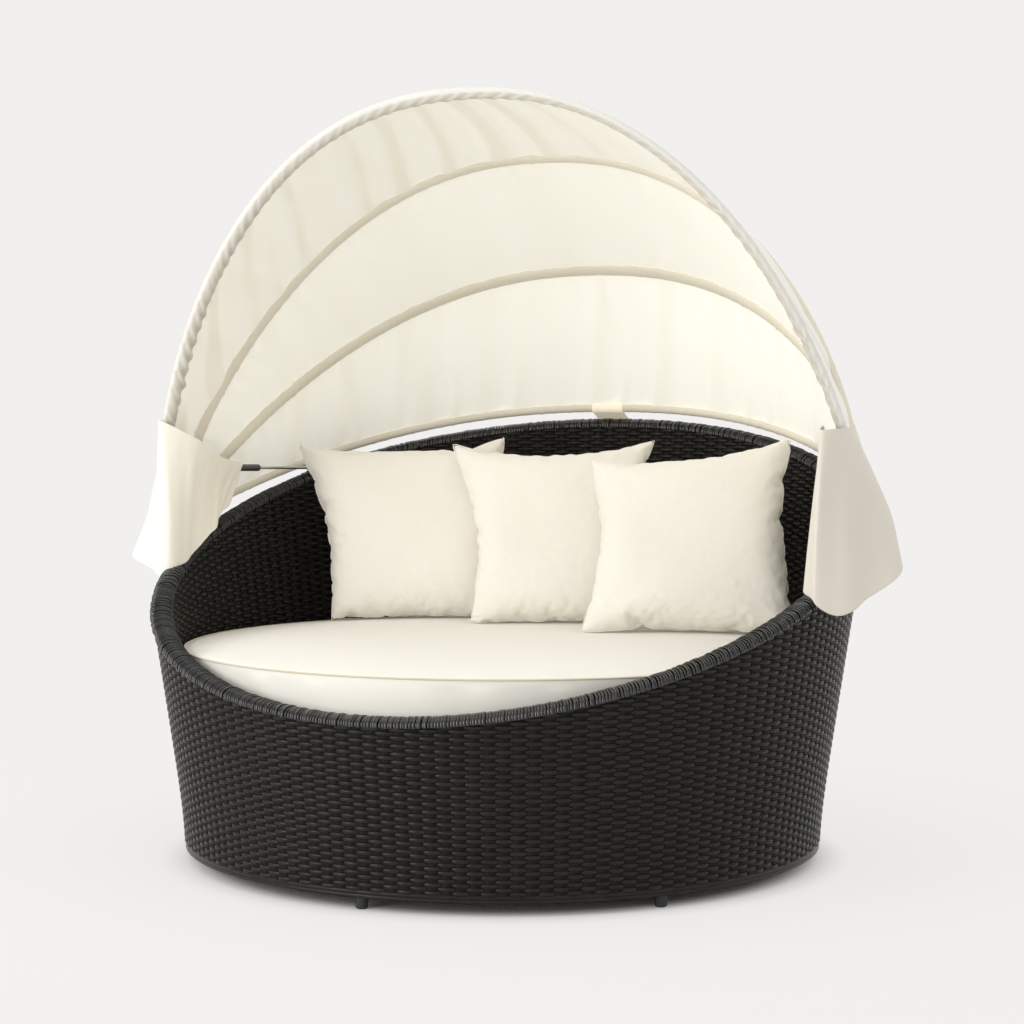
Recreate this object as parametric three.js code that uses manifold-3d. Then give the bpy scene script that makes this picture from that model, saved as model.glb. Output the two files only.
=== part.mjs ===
// Round outdoor daybed with a woven wall, a folding cloth canopy and loose cushions.
// Millimetres, +Z up, front towards -Y. The origin is the middle of the base at floor level.
import * as THREE from 'three';
import { mergeVertices } from 'three/addons/utils/BufferGeometryUtils.js';
import Module from 'manifold-3d';

const wasm = await Module();
wasm.setup();

// Woven wall: a round shell that leans out a little above a straight foot
const baseRadius = 775;
const wallLeanShare = 0.153;
const leanStartHeight = 80;
const leanBlend = 50;
const shellBottomHeight = 28;
const rimSideHeight = 746;
const rimRise = 316;
const wallDepth = 45;
const skinThickness = 5;
const lipReach = 40;
const lipThickness = 3;
const skinTopDrop = 25;

// Rolled rim band and the tube inside it
const wrapThickness = 4;
const wrapLegDepth = 40;
const wrapShoulder = 12;
const wrapFlatHalf = 15;
const rimTubeRadius = 12.5;
const rimTubeGap = 0.7;

// Inner frame
const ringTubeRadius = 12.5;
const baseRingInset = 25;
const uprightRadius = 8;
const uprightCount = 12;
const beamSize = 25;
const beamSpacing = 380;
const centreLegRadius = 16;
const deckTopHeight = 362;
const deckThickness = 12;
const glideRadius = 14;
const glideDegrees = [-4, 48, 112, 176, 228, 292];
const glideInset = 30;
const glideBevel = 3;

// Canopy hinge on each side
const pivotY = -57;
const pivotDrop = 2;
const pivotHeight = rimSideHeight - pivotDrop;
const bracketHalfWidth = 22;
const bracketDrop = 84;
const bracketPlate = 6;
const boltRadius = 4;
const boltHeadRadius = 7.5;
const boltHeadHeight = 5;
const boltEnd = 2;
const nutRadius = 7.5;
const nutHeight = 8;
const holeClearance = 0.7;

// Canopy bows: swell is how far a bow stands out past the hinge bracket, reach how far it arches
const bowTubeRadius = 9.5;
const bowTail = 14;
const bowPitch = 20.5;
const firstBowClearance = 2.2;
const spanPowerShare = 2.235;
const reachPowerShare = 1.652;
const legHoldStart = 50;
const legHoldEnd = 380;
const canopyReach = 1105;
const frontBowSwell = 33;
const innerBowSwell = 27;
const rearBowSwell = 63;
const secondReachShare = 0.95;
const thirdReachShare = 0.955;
const rearBowInset = 40;
const rearBowRise = 31.5;
const slotShares = { front: 1, second: 0, third: 2, rear: 3 };
const frontBowDegrees = 101.2;
const secondBowDegrees = 70.5;
const thirdBowDegrees = 43.6;

// Canopy cloth
const clothThickness = 3;
const clothSag = 14;
const panelStartReach = 125;
const panelRows = 26;
const panelColumns = 4;
const flapWidth = 100;
const flapForward = 210;
const flapHeight = 300;
const flapFold = 9;
const flapFoldCount = 3;
const flapWrapCells = 17;
const flapDropCells = 8;
const strapWidth = 90;
const strapThickness = 2.5;
const strapDrop = 36;
const strapLoopGap = 0.9;
const strapWrapShares = [0.78, 1.56];
const strapWrapSteps = 6;
const strapColumns = 4;

// Folding struts
const strutReach = 200;
const studRadius = 4;
const studLength = 21;
const studCollarRadius = 7;
const studCollarHeight = 4;
const strutBodyRadius = 9.5;
const strutSocketRadius = 8.5;
const strutBore = 5;
const strutRodRadius = 4;
const strutStrokeShare = 0.378;
const strutSpareShare = 0.168;
const rodSocketRadius = 7;
const strutRimDegrees = 121.7;
const strutRimInset = 8;
const strutRimRise = 16;
const footLength = 34;
const footWidth = 22;
const footHeight = 5;
const footPostRadius = 5;

// Seat cushion and pillows
const cushionGap = 16;
const cushionEdgeHeight = 510;
const cushionCrown = 20;
const cushionFlatRadius = 670;
const cushionSideDraw = 9;
const cushionEdgeRound = 14;
const pillowSize = 500;
const pillowThickness = 165;
const pillowPinchShare = 0.055;
const pillowSwellShare = 0.55;
const pillowCells = 13;
const pillows = [
  { name: 'pillow_left', placeShares: [-0.54, 0.54], yaw: 23.5, lean: 21, roll: 2.3 },
  { name: 'pillow_middle', placeShares: [-0.015, 0.55], yaw: 17, lean: 23, roll: 2.7 },
  { name: 'pillow_right', placeShares: [0.496, 0.386], yaw: 11, lean: 26, roll: 3 },
];

// Gaps and counts
const seatGap = 0.3;
const cutOverrun = 6;
const wallSegments = 60;
const ringSegments = 48;
const ringSides = 8;
const bowSteps = 36;
const degree = Math.PI / 180;

const colours = {
  wicker: { color: 0x2b2724, roughness: 0.5, metalness: 0 },
  frame: { color: 0x1c1b1a, roughness: 0.45, metalness: 0.6 },
  bow: { color: 0xb9b4a8, roughness: 0.4, metalness: 0.7 },
  steel: { color: 0x9a9a98, roughness: 0.35, metalness: 0.9 },
  strut: { color: 0x141414, roughness: 0.35, metalness: 0.3 },
  cloth: { color: 0xf3eedd, roughness: 0.9, metalness: 0 },
  pad: { color: 0xf2ead6, roughness: 0.9, metalness: 0 },
  plastic: { color: 0x121212, roughness: 0.6, metalness: 0 },
};

function material(kind) {
  return new THREE.MeshStandardMaterial(colours[kind]);
}

function named(name, geometry, kind) {
  const mesh = new THREE.Mesh(geometry, material(kind));
  mesh.name = name;
  return mesh;
}

// Wall geometry: theta is measured from the front, positive towards +X
function wallRadiusAt(height) {
  const lift = Math.exp((height - leanStartHeight) / leanBlend);
  return baseRadius + wallLeanShare * leanBlend * Math.log(1 + lift);
}

function rimHeightAt(theta) {
  return rimSideHeight - rimRise * Math.cos(theta);
}

function polar(radius, theta, height) {
  return new THREE.Vector3(radius * Math.sin(theta), -radius * Math.cos(theta), height);
}

// A closed solid from indexed corners, with its faces turned outwards
function facingOut(corners, triangles) {
  let volume = 0;
  for (let i = 0; i < triangles.length; i += 3) {
    const [a, b, c] = [corners[triangles[i]], corners[triangles[i + 1]], corners[triangles[i + 2]]];
    volume += a.dot(new THREE.Vector3().crossVectors(b, c));
  }
  const ordered = [];
  for (let i = 0; i < triangles.length; i += 3) {
    const [a, b, c] = triangles.slice(i, i + 3);
    ordered.push(a, volume > 0 ? b : c, volume > 0 ? c : b);
  }
  const geometry = new THREE.BufferGeometry();
  geometry.setAttribute('position', new THREE.Float32BufferAttribute(corners.flatMap((p) => p.toArray()), 3));
  geometry.setIndex(ordered);
  geometry.computeVertexNormals();
  return geometry;
}

// Joins closed sections into a ring that ends where it starts
function ringSolid(sections) {
  const size = sections[0].length;
  const triangles = [];
  for (let i = 0; i < sections.length; i += 1) {
    const next = (i + 1) % sections.length;
    for (let j = 0; j < size; j += 1) {
      const [a, b] = [i * size + j, i * size + ((j + 1) % size)];
      const [c, d] = [next * size + ((j + 1) % size), next * size + j];
      triangles.push(a, b, c, a, c, d);
    }
  }
  return facingOut(sections.flat(), triangles);
}

// Section points are pairs of depth behind the wall's outer face and height
function wallRing(sectionAt) {
  const sections = [];
  for (let i = 0; i < wallSegments; i += 1) {
    const theta = (2 * Math.PI * i) / wallSegments;
    const section = sectionAt(theta);
    sections.push(section.map(([depth, height]) => polar(wallRadiusAt(height) - depth, theta, height)));
  }
  return ringSolid(sections);
}

// A round tube bent into a ring, with flats on top, below and at its sides
function tubeRing(centreAt, radius, segments) {
  const corner = radius / Math.cos(Math.PI / ringSides);
  const sections = [];
  for (let i = 0; i < segments; i += 1) {
    const theta = (2 * Math.PI * i) / segments;
    const centre = centreAt(theta);
    const section = [];
    for (let j = 0; j < ringSides; j += 1) {
      const turn = (2 * Math.PI * (j + 1 / 2)) / ringSides;
      const [out, rise] = [corner * Math.cos(turn), corner * Math.sin(turn)];
      section.push(polar(centre.radius + out, theta, centre.height + rise));
    }
    sections.push(section);
  }
  return ringSolid(sections);
}

// Boolean helpers
function solidOf(geometry) {
  const bare = geometry.clone();
  bare.deleteAttribute('normal');
  bare.deleteAttribute('uv');
  const merged = mergeVertices(bare);
  const vertProperties = new Float32Array(merged.attributes.position.array);
  const triVerts = new Uint32Array(merged.index.array);
  return new wasm.Manifold(new wasm.Mesh({ numProp: 3, vertProperties, triVerts }));
}

function geometryOf(solid) {
  const mesh = solid.getMesh();
  const geometry = new THREE.BufferGeometry();
  geometry.setAttribute('position', new THREE.BufferAttribute(new Float32Array(mesh.vertProperties), 3));
  geometry.setIndex(new THREE.BufferAttribute(new Uint32Array(mesh.triVerts), 1));
  geometry.computeVertexNormals();
  return geometry;
}

// A cylinder whose ends lie at two points
function cylinderBetween(start, end, radius, sides) {
  const along = new THREE.Vector3().subVectors(end, start);
  const geometry = new THREE.CylinderGeometry(radius, radius, along.length(), sides);
  const axis = new THREE.Vector3(0, 1, 0);
  geometry.applyQuaternion(new THREE.Quaternion().setFromUnitVectors(axis, along.clone().normalize()));
  const middle = new THREE.Vector3().addVectors(start, end).divideScalar(2);
  return geometry.translate(middle.x, middle.y, middle.z);
}

// A turned piece whose axis runs from a point in a direction; points are [radius, distance]
function turnedAlong(start, direction, points, sides) {
  const profile = points.map(([radius, distance]) => new THREE.Vector2(radius, distance));
  const geometry = new THREE.LatheGeometry(profile, sides);
  const turn = new THREE.Quaternion().setFromUnitVectors(new THREE.Vector3(0, 1, 0), direction);
  geometry.applyQuaternion(turn);
  return geometry.translate(start.x, start.y, start.z);
}

// A thin closed sheet whose middle surface runs through a grid of points
function sheetSolid(rows, thickness) {
  const [rowCount, columnCount] = [rows.length, rows[0].length];
  const offset = rowCount * columnCount;
  const index = (i, j) => i * columnCount + j;
  const kept = (i, count) => Math.max(0, Math.min(count - 1, i));
  const at = (i, j) => rows[kept(i, rowCount)][kept(j, columnCount)];
  const [outer, inner, triangles, border] = [[], [], [], []];
  for (let i = 0; i < rowCount; i += 1) {
    for (let j = 0; j < columnCount; j += 1) {
      const down = new THREE.Vector3().subVectors(at(i + 1, j), at(i - 1, j));
      const across = new THREE.Vector3().subVectors(at(i, j + 1), at(i, j - 1));
      const normal = down.cross(across).normalize().multiplyScalar(thickness / 2);
      outer.push(new THREE.Vector3().addVectors(at(i, j), normal));
      inner.push(new THREE.Vector3().subVectors(at(i, j), normal));
    }
  }
  for (let i = 0; i < rowCount - 1; i += 1) {
    for (let j = 0; j < columnCount - 1; j += 1) {
      const [a, b, c, d] = [index(i, j), index(i, j + 1), index(i + 1, j + 1), index(i + 1, j)];
      const [e, f, g, h] = [a, b, c, d].map((corner) => offset + corner);
      triangles.push(a, b, c, a, c, d, e, g, f, e, h, g);
    }
  }
  for (let j = 0; j < columnCount - 1; j += 1) border.push(index(0, j));
  for (let i = 0; i < rowCount - 1; i += 1) border.push(index(i, columnCount - 1));
  for (let j = columnCount - 1; j > 0; j -= 1) border.push(index(rowCount - 1, j));
  for (let i = rowCount - 1; i > 0; i -= 1) border.push(index(i, 0));
  border.forEach((a, k) => {
    const b = border[(k + 1) % border.length];
    triangles.push(b, a, a + offset, b, a + offset, b + offset);
  });
  return facingOut([...outer, ...inner], triangles);
}

// A flat outline in the YZ plane, drawn as a prism along X
function prismAlongX(outline, from, to) {
  const shape = new THREE.Shape(outline.map(([y, z]) => new THREE.Vector2(y, z)));
  const geometry = new THREE.ExtrudeGeometry(shape, { depth: to - from, bevelEnabled: false });
  const axes = new THREE.Matrix4().makeBasis(
    new THREE.Vector3(0, 1, 0),
    new THREE.Vector3(0, 0, 1),
    new THREE.Vector3(1, 0, 0),
  );
  return geometry.applyMatrix4(axes).translate(from, 0, 0);
}

// Points on a quarter, half or whole circle, as pairs
function arcPoints(radius, start, end, count) {
  return Array.from({ length: count + 1 }, (_, k) => {
    const turn = start + ((end - start) * k) / count;
    return [radius * Math.cos(turn), radius * Math.sin(turn)];
  });
}

// Woven skins: the outer one turns under the base ring, the inner one stands on the deck
const leanRowShares = [2.5, 1, 0];

function outerSkin() {
  return wallRing((theta) => {
    const top = rimHeightAt(theta) - skinTopDrop;
    const rows = [top, ...leanRowShares.map((share) => leanStartHeight + share * leanBlend)];
    const lipTop = shellBottomHeight + lipThickness;
    const underside = [[0, shellBottomHeight], [lipReach, shellBottomHeight]];
    const lip = [...underside, [lipReach, lipTop], [skinThickness, lipTop]];
    const outside = rows.map((height) => [0, height]);
    const inside = rows.map((height) => [skinThickness, height]).reverse();
    return [...outside, ...lip, ...inside];
  });
}

function innerSkin() {
  return wallRing((theta) => {
    const [top, bottom] = [rimHeightAt(theta) - skinTopDrop, deckTopHeight + seatGap];
    const behind = wallDepth - skinThickness;
    return [[wallDepth, top], [wallDepth, bottom], [behind, bottom], [behind, top]];
  });
}

// Half an outline and its mirror image, given as pairs of offset from mid-wall and drop
function mirrored(half) {
  return [...half, ...half.map(([offset, drop]) => [-offset, drop]).reverse()];
}

const wrapHalf = wallDepth / 2 + seatGap + wrapThickness;
const wrapOutline = [[wrapHalf, wrapLegDepth], [wrapHalf, wrapShoulder], [wrapFlatHalf, 0]];

function rimBand() {
  const innerHalf = wrapHalf - wrapThickness;
  const hollow = [
    [innerHalf, wrapLegDepth],
    [innerHalf, wrapShoulder + wrapThickness / 2],
    [wrapFlatHalf - wrapThickness / 2, wrapThickness],
  ];
  const channel = [...mirrored(wrapOutline), ...mirrored(hollow).reverse()];
  return wallRing((theta) => {
    const rim = rimHeightAt(theta);
    return channel.map(([offset, drop]) => [wallDepth / 2 - offset, rim - drop]);
  });
}

// The wall as one filled outline, grown by a gap, which trims the pieces that sit on it
function wallEnvelope(gap) {
  return solidOf(wallRing((theta) => {
    const rim = rimHeightAt(theta);
    const legEnd = wrapLegDepth + gap;
    const leg = [[wrapHalf + gap, legEnd], [wrapHalf + gap, wrapShoulder - gap]];
    const halfHead = [...leg, [wrapFlatHalf + gap, -gap]];
    const head = mirrored(halfHead);
    const foot = [[wallDepth, shellBottomHeight], [-gap, shellBottomHeight], [-gap, rim - legEnd]];
    return [...head.map(([offset, drop]) => [wallDepth / 2 - offset, rim - drop]), ...foot];
  }));
}

// Inner frame: rings joined by uprights, with beams and a deck under the cushion
const baseRingRadius = baseRadius - baseRingInset;
const baseRingHeight = shellBottomHeight + lipThickness + seatGap + ringTubeRadius;
const rimTubeDrop = wrapThickness + rimTubeGap + rimTubeRadius;
const deckBottomHeight = deckTopHeight - deckThickness;
const seatRingHeight = deckBottomHeight - seatGap - ringTubeRadius;

function rimTubeCentre(theta) {
  const height = rimHeightAt(theta) - rimTubeDrop;
  return { radius: wallRadiusAt(height) - wallDepth / 2, height };
}

const uprightLines = Array.from({ length: uprightCount }, (_, i) => {
  const theta = (2 * Math.PI * (i + 1 / 2)) / uprightCount;
  const rim = rimTubeCentre(theta);
  return { foot: polar(baseRingRadius, theta, baseRingHeight), head: polar(rim.radius, theta, rim.height) };
});

function uprightReachAt(height) {
  return Math.min(...uprightLines.map(({ foot, head }) => {
    const point = foot.clone().lerp(head, (height - foot.z) / (head.z - foot.z));
    return Math.hypot(point.x, point.y);
  }));
}

const seatRingReach = uprightReachAt(seatRingHeight - ringTubeRadius) - uprightRadius;
const seatRingRadius = seatRingReach - seatGap - ringTubeRadius;
const deckRadius = uprightReachAt(deckBottomHeight) - uprightRadius - seatGap;

function frameRing(radius, height, tube) {
  return tubeRing(() => ({ radius, height }), tube, ringSegments);
}

function uprights() {
  const baseCut = solidOf(frameRing(baseRingRadius, baseRingHeight, ringTubeRadius + seatGap));
  const rimCut = solidOf(tubeRing(rimTubeCentre, rimTubeRadius + seatGap, wallSegments));
  return uprightLines.map(({ foot, head }, i) => {
    const bar = solidOf(cylinderBetween(foot, head, uprightRadius, ringSides));
    return named(`upright_${i + 1}`, geometryOf(bar.subtract(baseCut).subtract(rimCut)), 'frame');
  });
}

function crossBeams() {
  const ringCut = solidOf(frameRing(seatRingRadius, seatRingHeight, ringTubeRadius + seatGap));
  return [['front', -beamSpacing], ['middle', 0], ['rear', beamSpacing]].map(([place, y]) => {
    const halfLength = Math.sqrt(seatRingRadius ** 2 - (Math.abs(y) + beamSize / 2) ** 2);
    const bar = new THREE.BoxGeometry(2 * halfLength, beamSize, beamSize).translate(0, y, seatRingHeight);
    return named(`cross_beam_${place}`, geometryOf(solidOf(bar).subtract(ringCut)), 'frame');
  });
}

function seatDeck() {
  const geometry = new THREE.CylinderGeometry(deckRadius, deckRadius, deckThickness, wallSegments);
  return geometry.rotateX(Math.PI / 2).translate(0, 0, deckTopHeight - deckThickness / 2);
}

const glideHeight = shellBottomHeight - seatGap;
const up = new THREE.Vector3(0, 0, 1);

function glide(x, y) {
  const foot = [[0, 0], [glideRadius - glideBevel, 0], [glideRadius, glideBevel], [glideRadius, glideHeight]];
  return turnedAlong(new THREE.Vector3(x, y, 0), up, [...foot, [0, glideHeight]], 12);
}

function glides() {
  const around = glideDegrees.map((angle, i) => {
    const place = polar(baseRadius - glideInset, angle * degree, 0);
    return named(`glide_${i + 1}`, glide(place.x, place.y), 'plastic');
  });
  return [...around, named('centre_glide', glide(0, 0), 'plastic')];
}

function centreLeg() {
  const start = new THREE.Vector3(0, 0, glideHeight + seatGap);
  const end = new THREE.Vector3(0, 0, seatRingHeight - beamSize / 2 - seatGap);
  return cylinderBetween(start, end, centreLegRadius, 12);
}

// Canopy hinge: a bracket outside the wall whose bolt carries the four bows side by side
const plateInner = wallRadiusAt(pivotHeight) + wrapHalf - wallDepth / 2;
const plateOuter = plateInner + bracketPlate;
const slotX = (slot) => plateOuter + firstBowClearance + bowTubeRadius + slot * bowPitch;
const nutStart = slotX(slotShares.rear) + bowTubeRadius + seatGap;

function pivotHole(from, to) {
  const [start, end] = [from, to].map((x) => new THREE.Vector3(x, pivotY, pivotHeight));
  return solidOf(cylinderBetween(start, end, boltRadius + holeClearance, 12));
}

function hingeBracket(side) {
  const head = arcPoints(bracketHalfWidth, 0, Math.PI, 8).map(([y, z]) => [pivotY + y, pivotHeight + z]);
  const bottom = pivotHeight - bracketDrop;
  const sides = [[pivotY - bracketHalfWidth, bottom], [pivotY + bracketHalfWidth, bottom]];
  const plate = solidOf(prismAlongX([...head, ...sides], plateInner, plateOuter));
  const padTop = rimHeightAt(Math.acos(-pivotY / plateInner)) - wrapShoulder;
  const padOutline = [...sides, [pivotY + bracketHalfWidth, padTop], [pivotY - bracketHalfWidth, padTop]];
  const pad = solidOf(prismAlongX(padOutline, plateInner - bracketDrop / 2, plateInner + bracketPlate / 2));
  const fitted = plate.add(pad).subtract(wallEnvelope(seatGap));
  const whole = fitted.subtract(pivotHole(0, plateOuter + cutOverrun));
  return geometryOf(side > 0 ? whole : whole.mirror([1, 0, 0]));
}

function pivotBolt(side) {
  const start = plateInner - seatGap - boltHeadHeight;
  const length = nutStart + nutHeight + boltEnd - start;
  const head = [[0, 0], [boltHeadRadius, 0], [boltHeadRadius, boltHeadHeight], [boltRadius, boltHeadHeight]];
  const place = new THREE.Vector3(side * start, pivotY, pivotHeight);
  return turnedAlong(place, new THREE.Vector3(side, 0, 0), [...head, [boltRadius, length], [0, length]], 12);
}

function pivotNut(side) {
  const hexagon = arcPoints(nutRadius, 0, 2 * Math.PI, 6).slice(1);
  const outline = hexagon.map(([y, z]) => [pivotY + y, pivotHeight + z]);
  const nut = solidOf(prismAlongX(outline, nutStart, nutStart + nutHeight));
  const drilled = nut.subtract(pivotHole(nutStart - cutOverrun, nutStart + nutHeight + cutOverrun));
  return geometryOf(side > 0 ? drilled : drilled.mirror([1, 0, 0]));
}

// Canopy bows: the rear one lies a little inside and above the back rim, the others fan out from it
function bowSpec(key, swell, reach, angle) {
  return {
    name: `${key}_bow`,
    legSpan: slotX(slotShares[key]),
    halfSpan: plateOuter + swell,
    reach,
    angle,
  };
}

function rearBowSpec() {
  const rimTop = rimHeightAt(Math.PI);
  const back = wallRadiusAt(rimTop) - wallDepth / 2 - rearBowInset - pivotY;
  const rise = rimTop + rearBowRise - pivotHeight;
  return bowSpec('rear', rearBowSwell, Math.hypot(back, rise), Math.atan2(rise, back));
}

const [secondReach, thirdReach] = [secondReachShare * canopyReach, thirdReachShare * canopyReach];
const frontBow = bowSpec('front', frontBowSwell, canopyReach, frontBowDegrees * degree);
const secondBow = bowSpec('second', innerBowSwell, secondReach, secondBowDegrees * degree);
const thirdBow = bowSpec('third', innerBowSwell, thirdReach, thirdBowDegrees * degree);
const rearBow = rearBowSpec();

// Along a bow, turn runs from the right leg, at 0, over the top to the left leg, at pi
function bowProfile(bow, turn) {
  const reach = bow.reach * Math.sin(turn) ** (2 / reachPowerShare);
  const half = bow.halfSpan * Math.abs(Math.cos(turn)) ** (2 / spanPowerShare);
  const hold = 1 - THREE.MathUtils.smoothstep(reach, legHoldStart, legHoldEnd);
  return { span: Math.sign(Math.cos(turn)) * (half + hold * (bow.legSpan - bow.halfSpan)), reach };
}

function canopyPoint(span, reach, angle) {
  return new THREE.Vector3(span, pivotY + reach * Math.cos(angle), pivotHeight + reach * Math.sin(angle));
}

function bowSolid(bow, radius) {
  const points = [canopyPoint(bow.legSpan, -bowTail, bow.angle)];
  for (let i = 0; i <= bowSteps; i += 1) {
    const turn = Math.min((Math.PI * i) / bowSteps, Math.PI - Number.EPSILON);
    const { span, reach } = bowProfile(bow, turn);
    points.push(canopyPoint(span, reach, bow.angle));
  }
  points.push(canopyPoint(-bow.legSpan, -bowTail, bow.angle));
  const outline = arcPoints(radius, 0, 2 * Math.PI, ringSides).slice(1);
  const section = new THREE.Shape(outline.map(([x, y]) => new THREE.Vector2(x, y)));
  const extrudePath = new THREE.CatmullRomCurve3(points, false, 'centripetal');
  const settings = { steps: bowSteps + 2, bevelEnabled: false, extrudePath };
  return solidOf(new THREE.ExtrudeGeometry(section, settings));
}

function bow(spec) {
  const length = nutStart + cutOverrun;
  const tube = bowSolid(spec, bowTubeRadius);
  return named(spec.name, geometryOf(tube.subtract(pivotHole(-length, length))), 'bow');
}

// One gore of cloth between two bows, a little slack in its middle
function canopyPanel(lower, upper) {
  const startTurn = Math.asin((panelStartReach / lower.reach) ** (reachPowerShare / 2));
  const clear = bowTubeRadius + 4 * seatGap;
  const rows = [];
  for (let i = 0; i <= panelRows; i += 1) {
    const turn = startTurn + ((Math.PI - 2 * startTurn) * i) / panelRows;
    const [low, high] = [bowProfile(lower, turn), bowProfile(upper, turn)];
    const from = lower.angle + clear / low.reach;
    const to = upper.angle - clear / high.reach;
    const row = [];
    for (let j = 0; j <= panelColumns; j += 1) {
      const share = j / panelColumns;
      const slack = clothSag * 4 * share * (1 - share) * Math.sin(turn);
      const span = THREE.MathUtils.lerp(low.span, high.span, share);
      const reach = THREE.MathUtils.lerp(low.reach, high.reach, share) - slack;
      row.push(canopyPoint(span, reach, THREE.MathUtils.lerp(from, to, share)));
    }
    rows.push(row);
  }
  return sheetSolid(rows, clothThickness);
}

// Side flaps wrap the hinge from its back, round the front of the bows, to the inside of the wall.
// Columns follow that wrap; each holds top, middle and bottom as shares of outward, forward and upward reach.
const rightFlapShares = [
  [[0.2, -0.75, 0.64], [0.8, -0.4, 0.29], [0.98, 0.06, 0.08]],
  [[0.08, -0.2, 0.84], [0.72, -0.1, 0.36], [0.92, 0.16, -0.06]],
  [[-0.025, 0.2, 1.0], [0.42, 0.2, 0.46], [0.52, 0.42, -0.3]],
  [[-0.14, 0.5, 1.0], [0.06, 0.62, 0.42], [0.06, 0.84, -0.38]],
  [[-0.46, 0.68, 0.99], [-0.44, 0.92, 0.38], [-0.44, 1.06, -0.17]],
  [[-0.62, 0.3, 1.02], [-0.7, 0.4, 0.4], [-0.72, 0.62, -0.08]],
  [[-0.86, -0.3, 1.0], [-0.86, -0.3, 0.46], [-0.84, -0.1, 0.08]],
  [[-1.16, -0.95, 0.92], [-1.14, -0.95, 0.66], [-1.08, -0.78, 0.34]],
];
const leftFlapShares = [
  [[0.2, -0.75, 0.64], [0.8, -0.4, 0.29], [0.98, 0.06, 0.08]],
  [[0.08, -0.2, 0.84], [0.72, -0.1, 0.36], [0.92, 0.12, -0.06]],
  [[-0.042, 0.2, 1.0], [0.42, 0.2, 0.46], [0.5, 0.3, -0.2]],
  [[-0.1, 0.42, 1.0], [0.2, 0.44, 0.42], [0.16, 0.42, -0.26]],
  [[-0.26, 0.48, 1.0], [-0.2, 0.54, 0.38], [-0.18, 0.5, -0.2]],
  [[-0.62, 0.2, 1.0], [-0.66, 0.26, 0.4], [-0.66, 0.24, -0.06]],
  [[-0.86, -0.3, 1.0], [-0.86, -0.3, 0.46], [-0.84, -0.2, 0.08]],
  [[-1.16, -0.95, 0.92], [-1.14, -0.95, 0.66], [-1.08, -0.78, 0.34]],
];

function sideFlap(side, shares) {
  const place = ([outShare, foreShare, upShare]) => new THREE.Vector3(
    side * (plateOuter + outShare * flapWidth),
    pivotY - foreShare * flapForward,
    pivotHeight + upShare * flapHeight,
  );
  const drops = shares.map((column) => new THREE.CatmullRomCurve3(column.map(place)));
  const rows = [];
  for (let i = 0; i <= flapDropCells; i += 1) {
    const level = drops.map((drop) => drop.getPoint(i / flapDropCells));
    const wrap = new THREE.CatmullRomCurve3(level, false, 'centripetal');
    const row = [];
    for (let j = 0; j <= flapWrapCells; j += 1) {
      const share = j / flapWrapCells;
      const fold = flapFold * (i / flapDropCells) * Math.sin(2 * Math.PI * flapFoldCount * share);
      const tangent = wrap.getTangentAt(share);
      row.push(wrap.getPointAt(share).add(new THREE.Vector3(tangent.y, -tangent.x, 0).multiplyScalar(fold)));
    }
    rows.push(row);
  }
  return sheetSolid(rows, clothThickness);
}

// A strap that ties the rear bow down over the outside of the back rim
function rearStrap() {
  const [wrapStart, wrapEnd] = strapWrapShares.map((share) => share * Math.PI);
  const bend = Math.cos((wrapEnd - wrapStart) / strapWrapSteps / 2);
  const loop = (bowTubeRadius / Math.cos(Math.PI / ringSides) + strapLoopGap) / bend;
  const bends = arcPoints(loop + strapThickness / 2, wrapStart, wrapEnd, strapWrapSteps);
  const rimTop = rimHeightAt(Math.PI);
  const middle = wallRadiusAt(rimTop) - wallDepth / 2;
  const lift = strapThickness / 2 + 2 * seatGap;
  const corner = lift * Math.tan(Math.PI / 8);
  const overRim = [
    [middle + wrapFlatHalf + corner, rimTop + lift],
    [middle + wrapHalf + lift, rimTop - wrapShoulder + corner],
    [middle + wrapHalf + lift, rimTop - strapDrop],
  ];
  const columns = [];
  for (let k = 0; k <= strapColumns; k += 1) {
    const x = strapWidth * (k / strapColumns - 1 / 2);
    const turn = Math.acos((Math.abs(x) / rearBow.halfSpan) ** (spanPowerShare / 2));
    const centre = canopyPoint(x, bowProfile(rearBow, turn).reach, rearBow.angle);
    const around = bends.map(([y, z]) => [centre.y + y, centre.z + z]);
    columns.push([...around, ...overRim].map(([y, z]) => new THREE.Vector3(x, y, z)));
  }
  return sheetSolid(columns, strapThickness);
}

// Folding struts: a rod on the rim slides in a body that is held by a stud on the front bow
function strutEnds(side) {
  const turn = Math.asin((strutReach / frontBow.reach) ** (reachPowerShare / 2));
  const leg = canopyPoint(side * bowProfile(frontBow, turn).span, strutReach, frontBow.angle);
  const ball = leg.clone();
  ball.x -= side * (bowTubeRadius + studLength + strutSocketRadius);
  const theta = side * strutRimDegrees * degree;
  const rimTop = rimHeightAt(theta);
  const radius = wallRadiusAt(rimTop) - wallDepth / 2 - strutRimInset;
  const eye = polar(radius, theta, rimTop + strutRimRise);
  const length = eye.distanceTo(ball);
  const [stroke, spare] = [strutStrokeShare * length, strutSpareShare * length];
  const along = eye.clone().sub(ball).normalize();
  return { leg, ball, theta, rimTop, eye, along, length, stroke, spare };
}

// The rounded end that takes a ball stud
function socket(radius) {
  return [[0, -radius], [radius * Math.SQRT1_2, -radius * Math.SQRT1_2], [radius, 0]];
}

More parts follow.
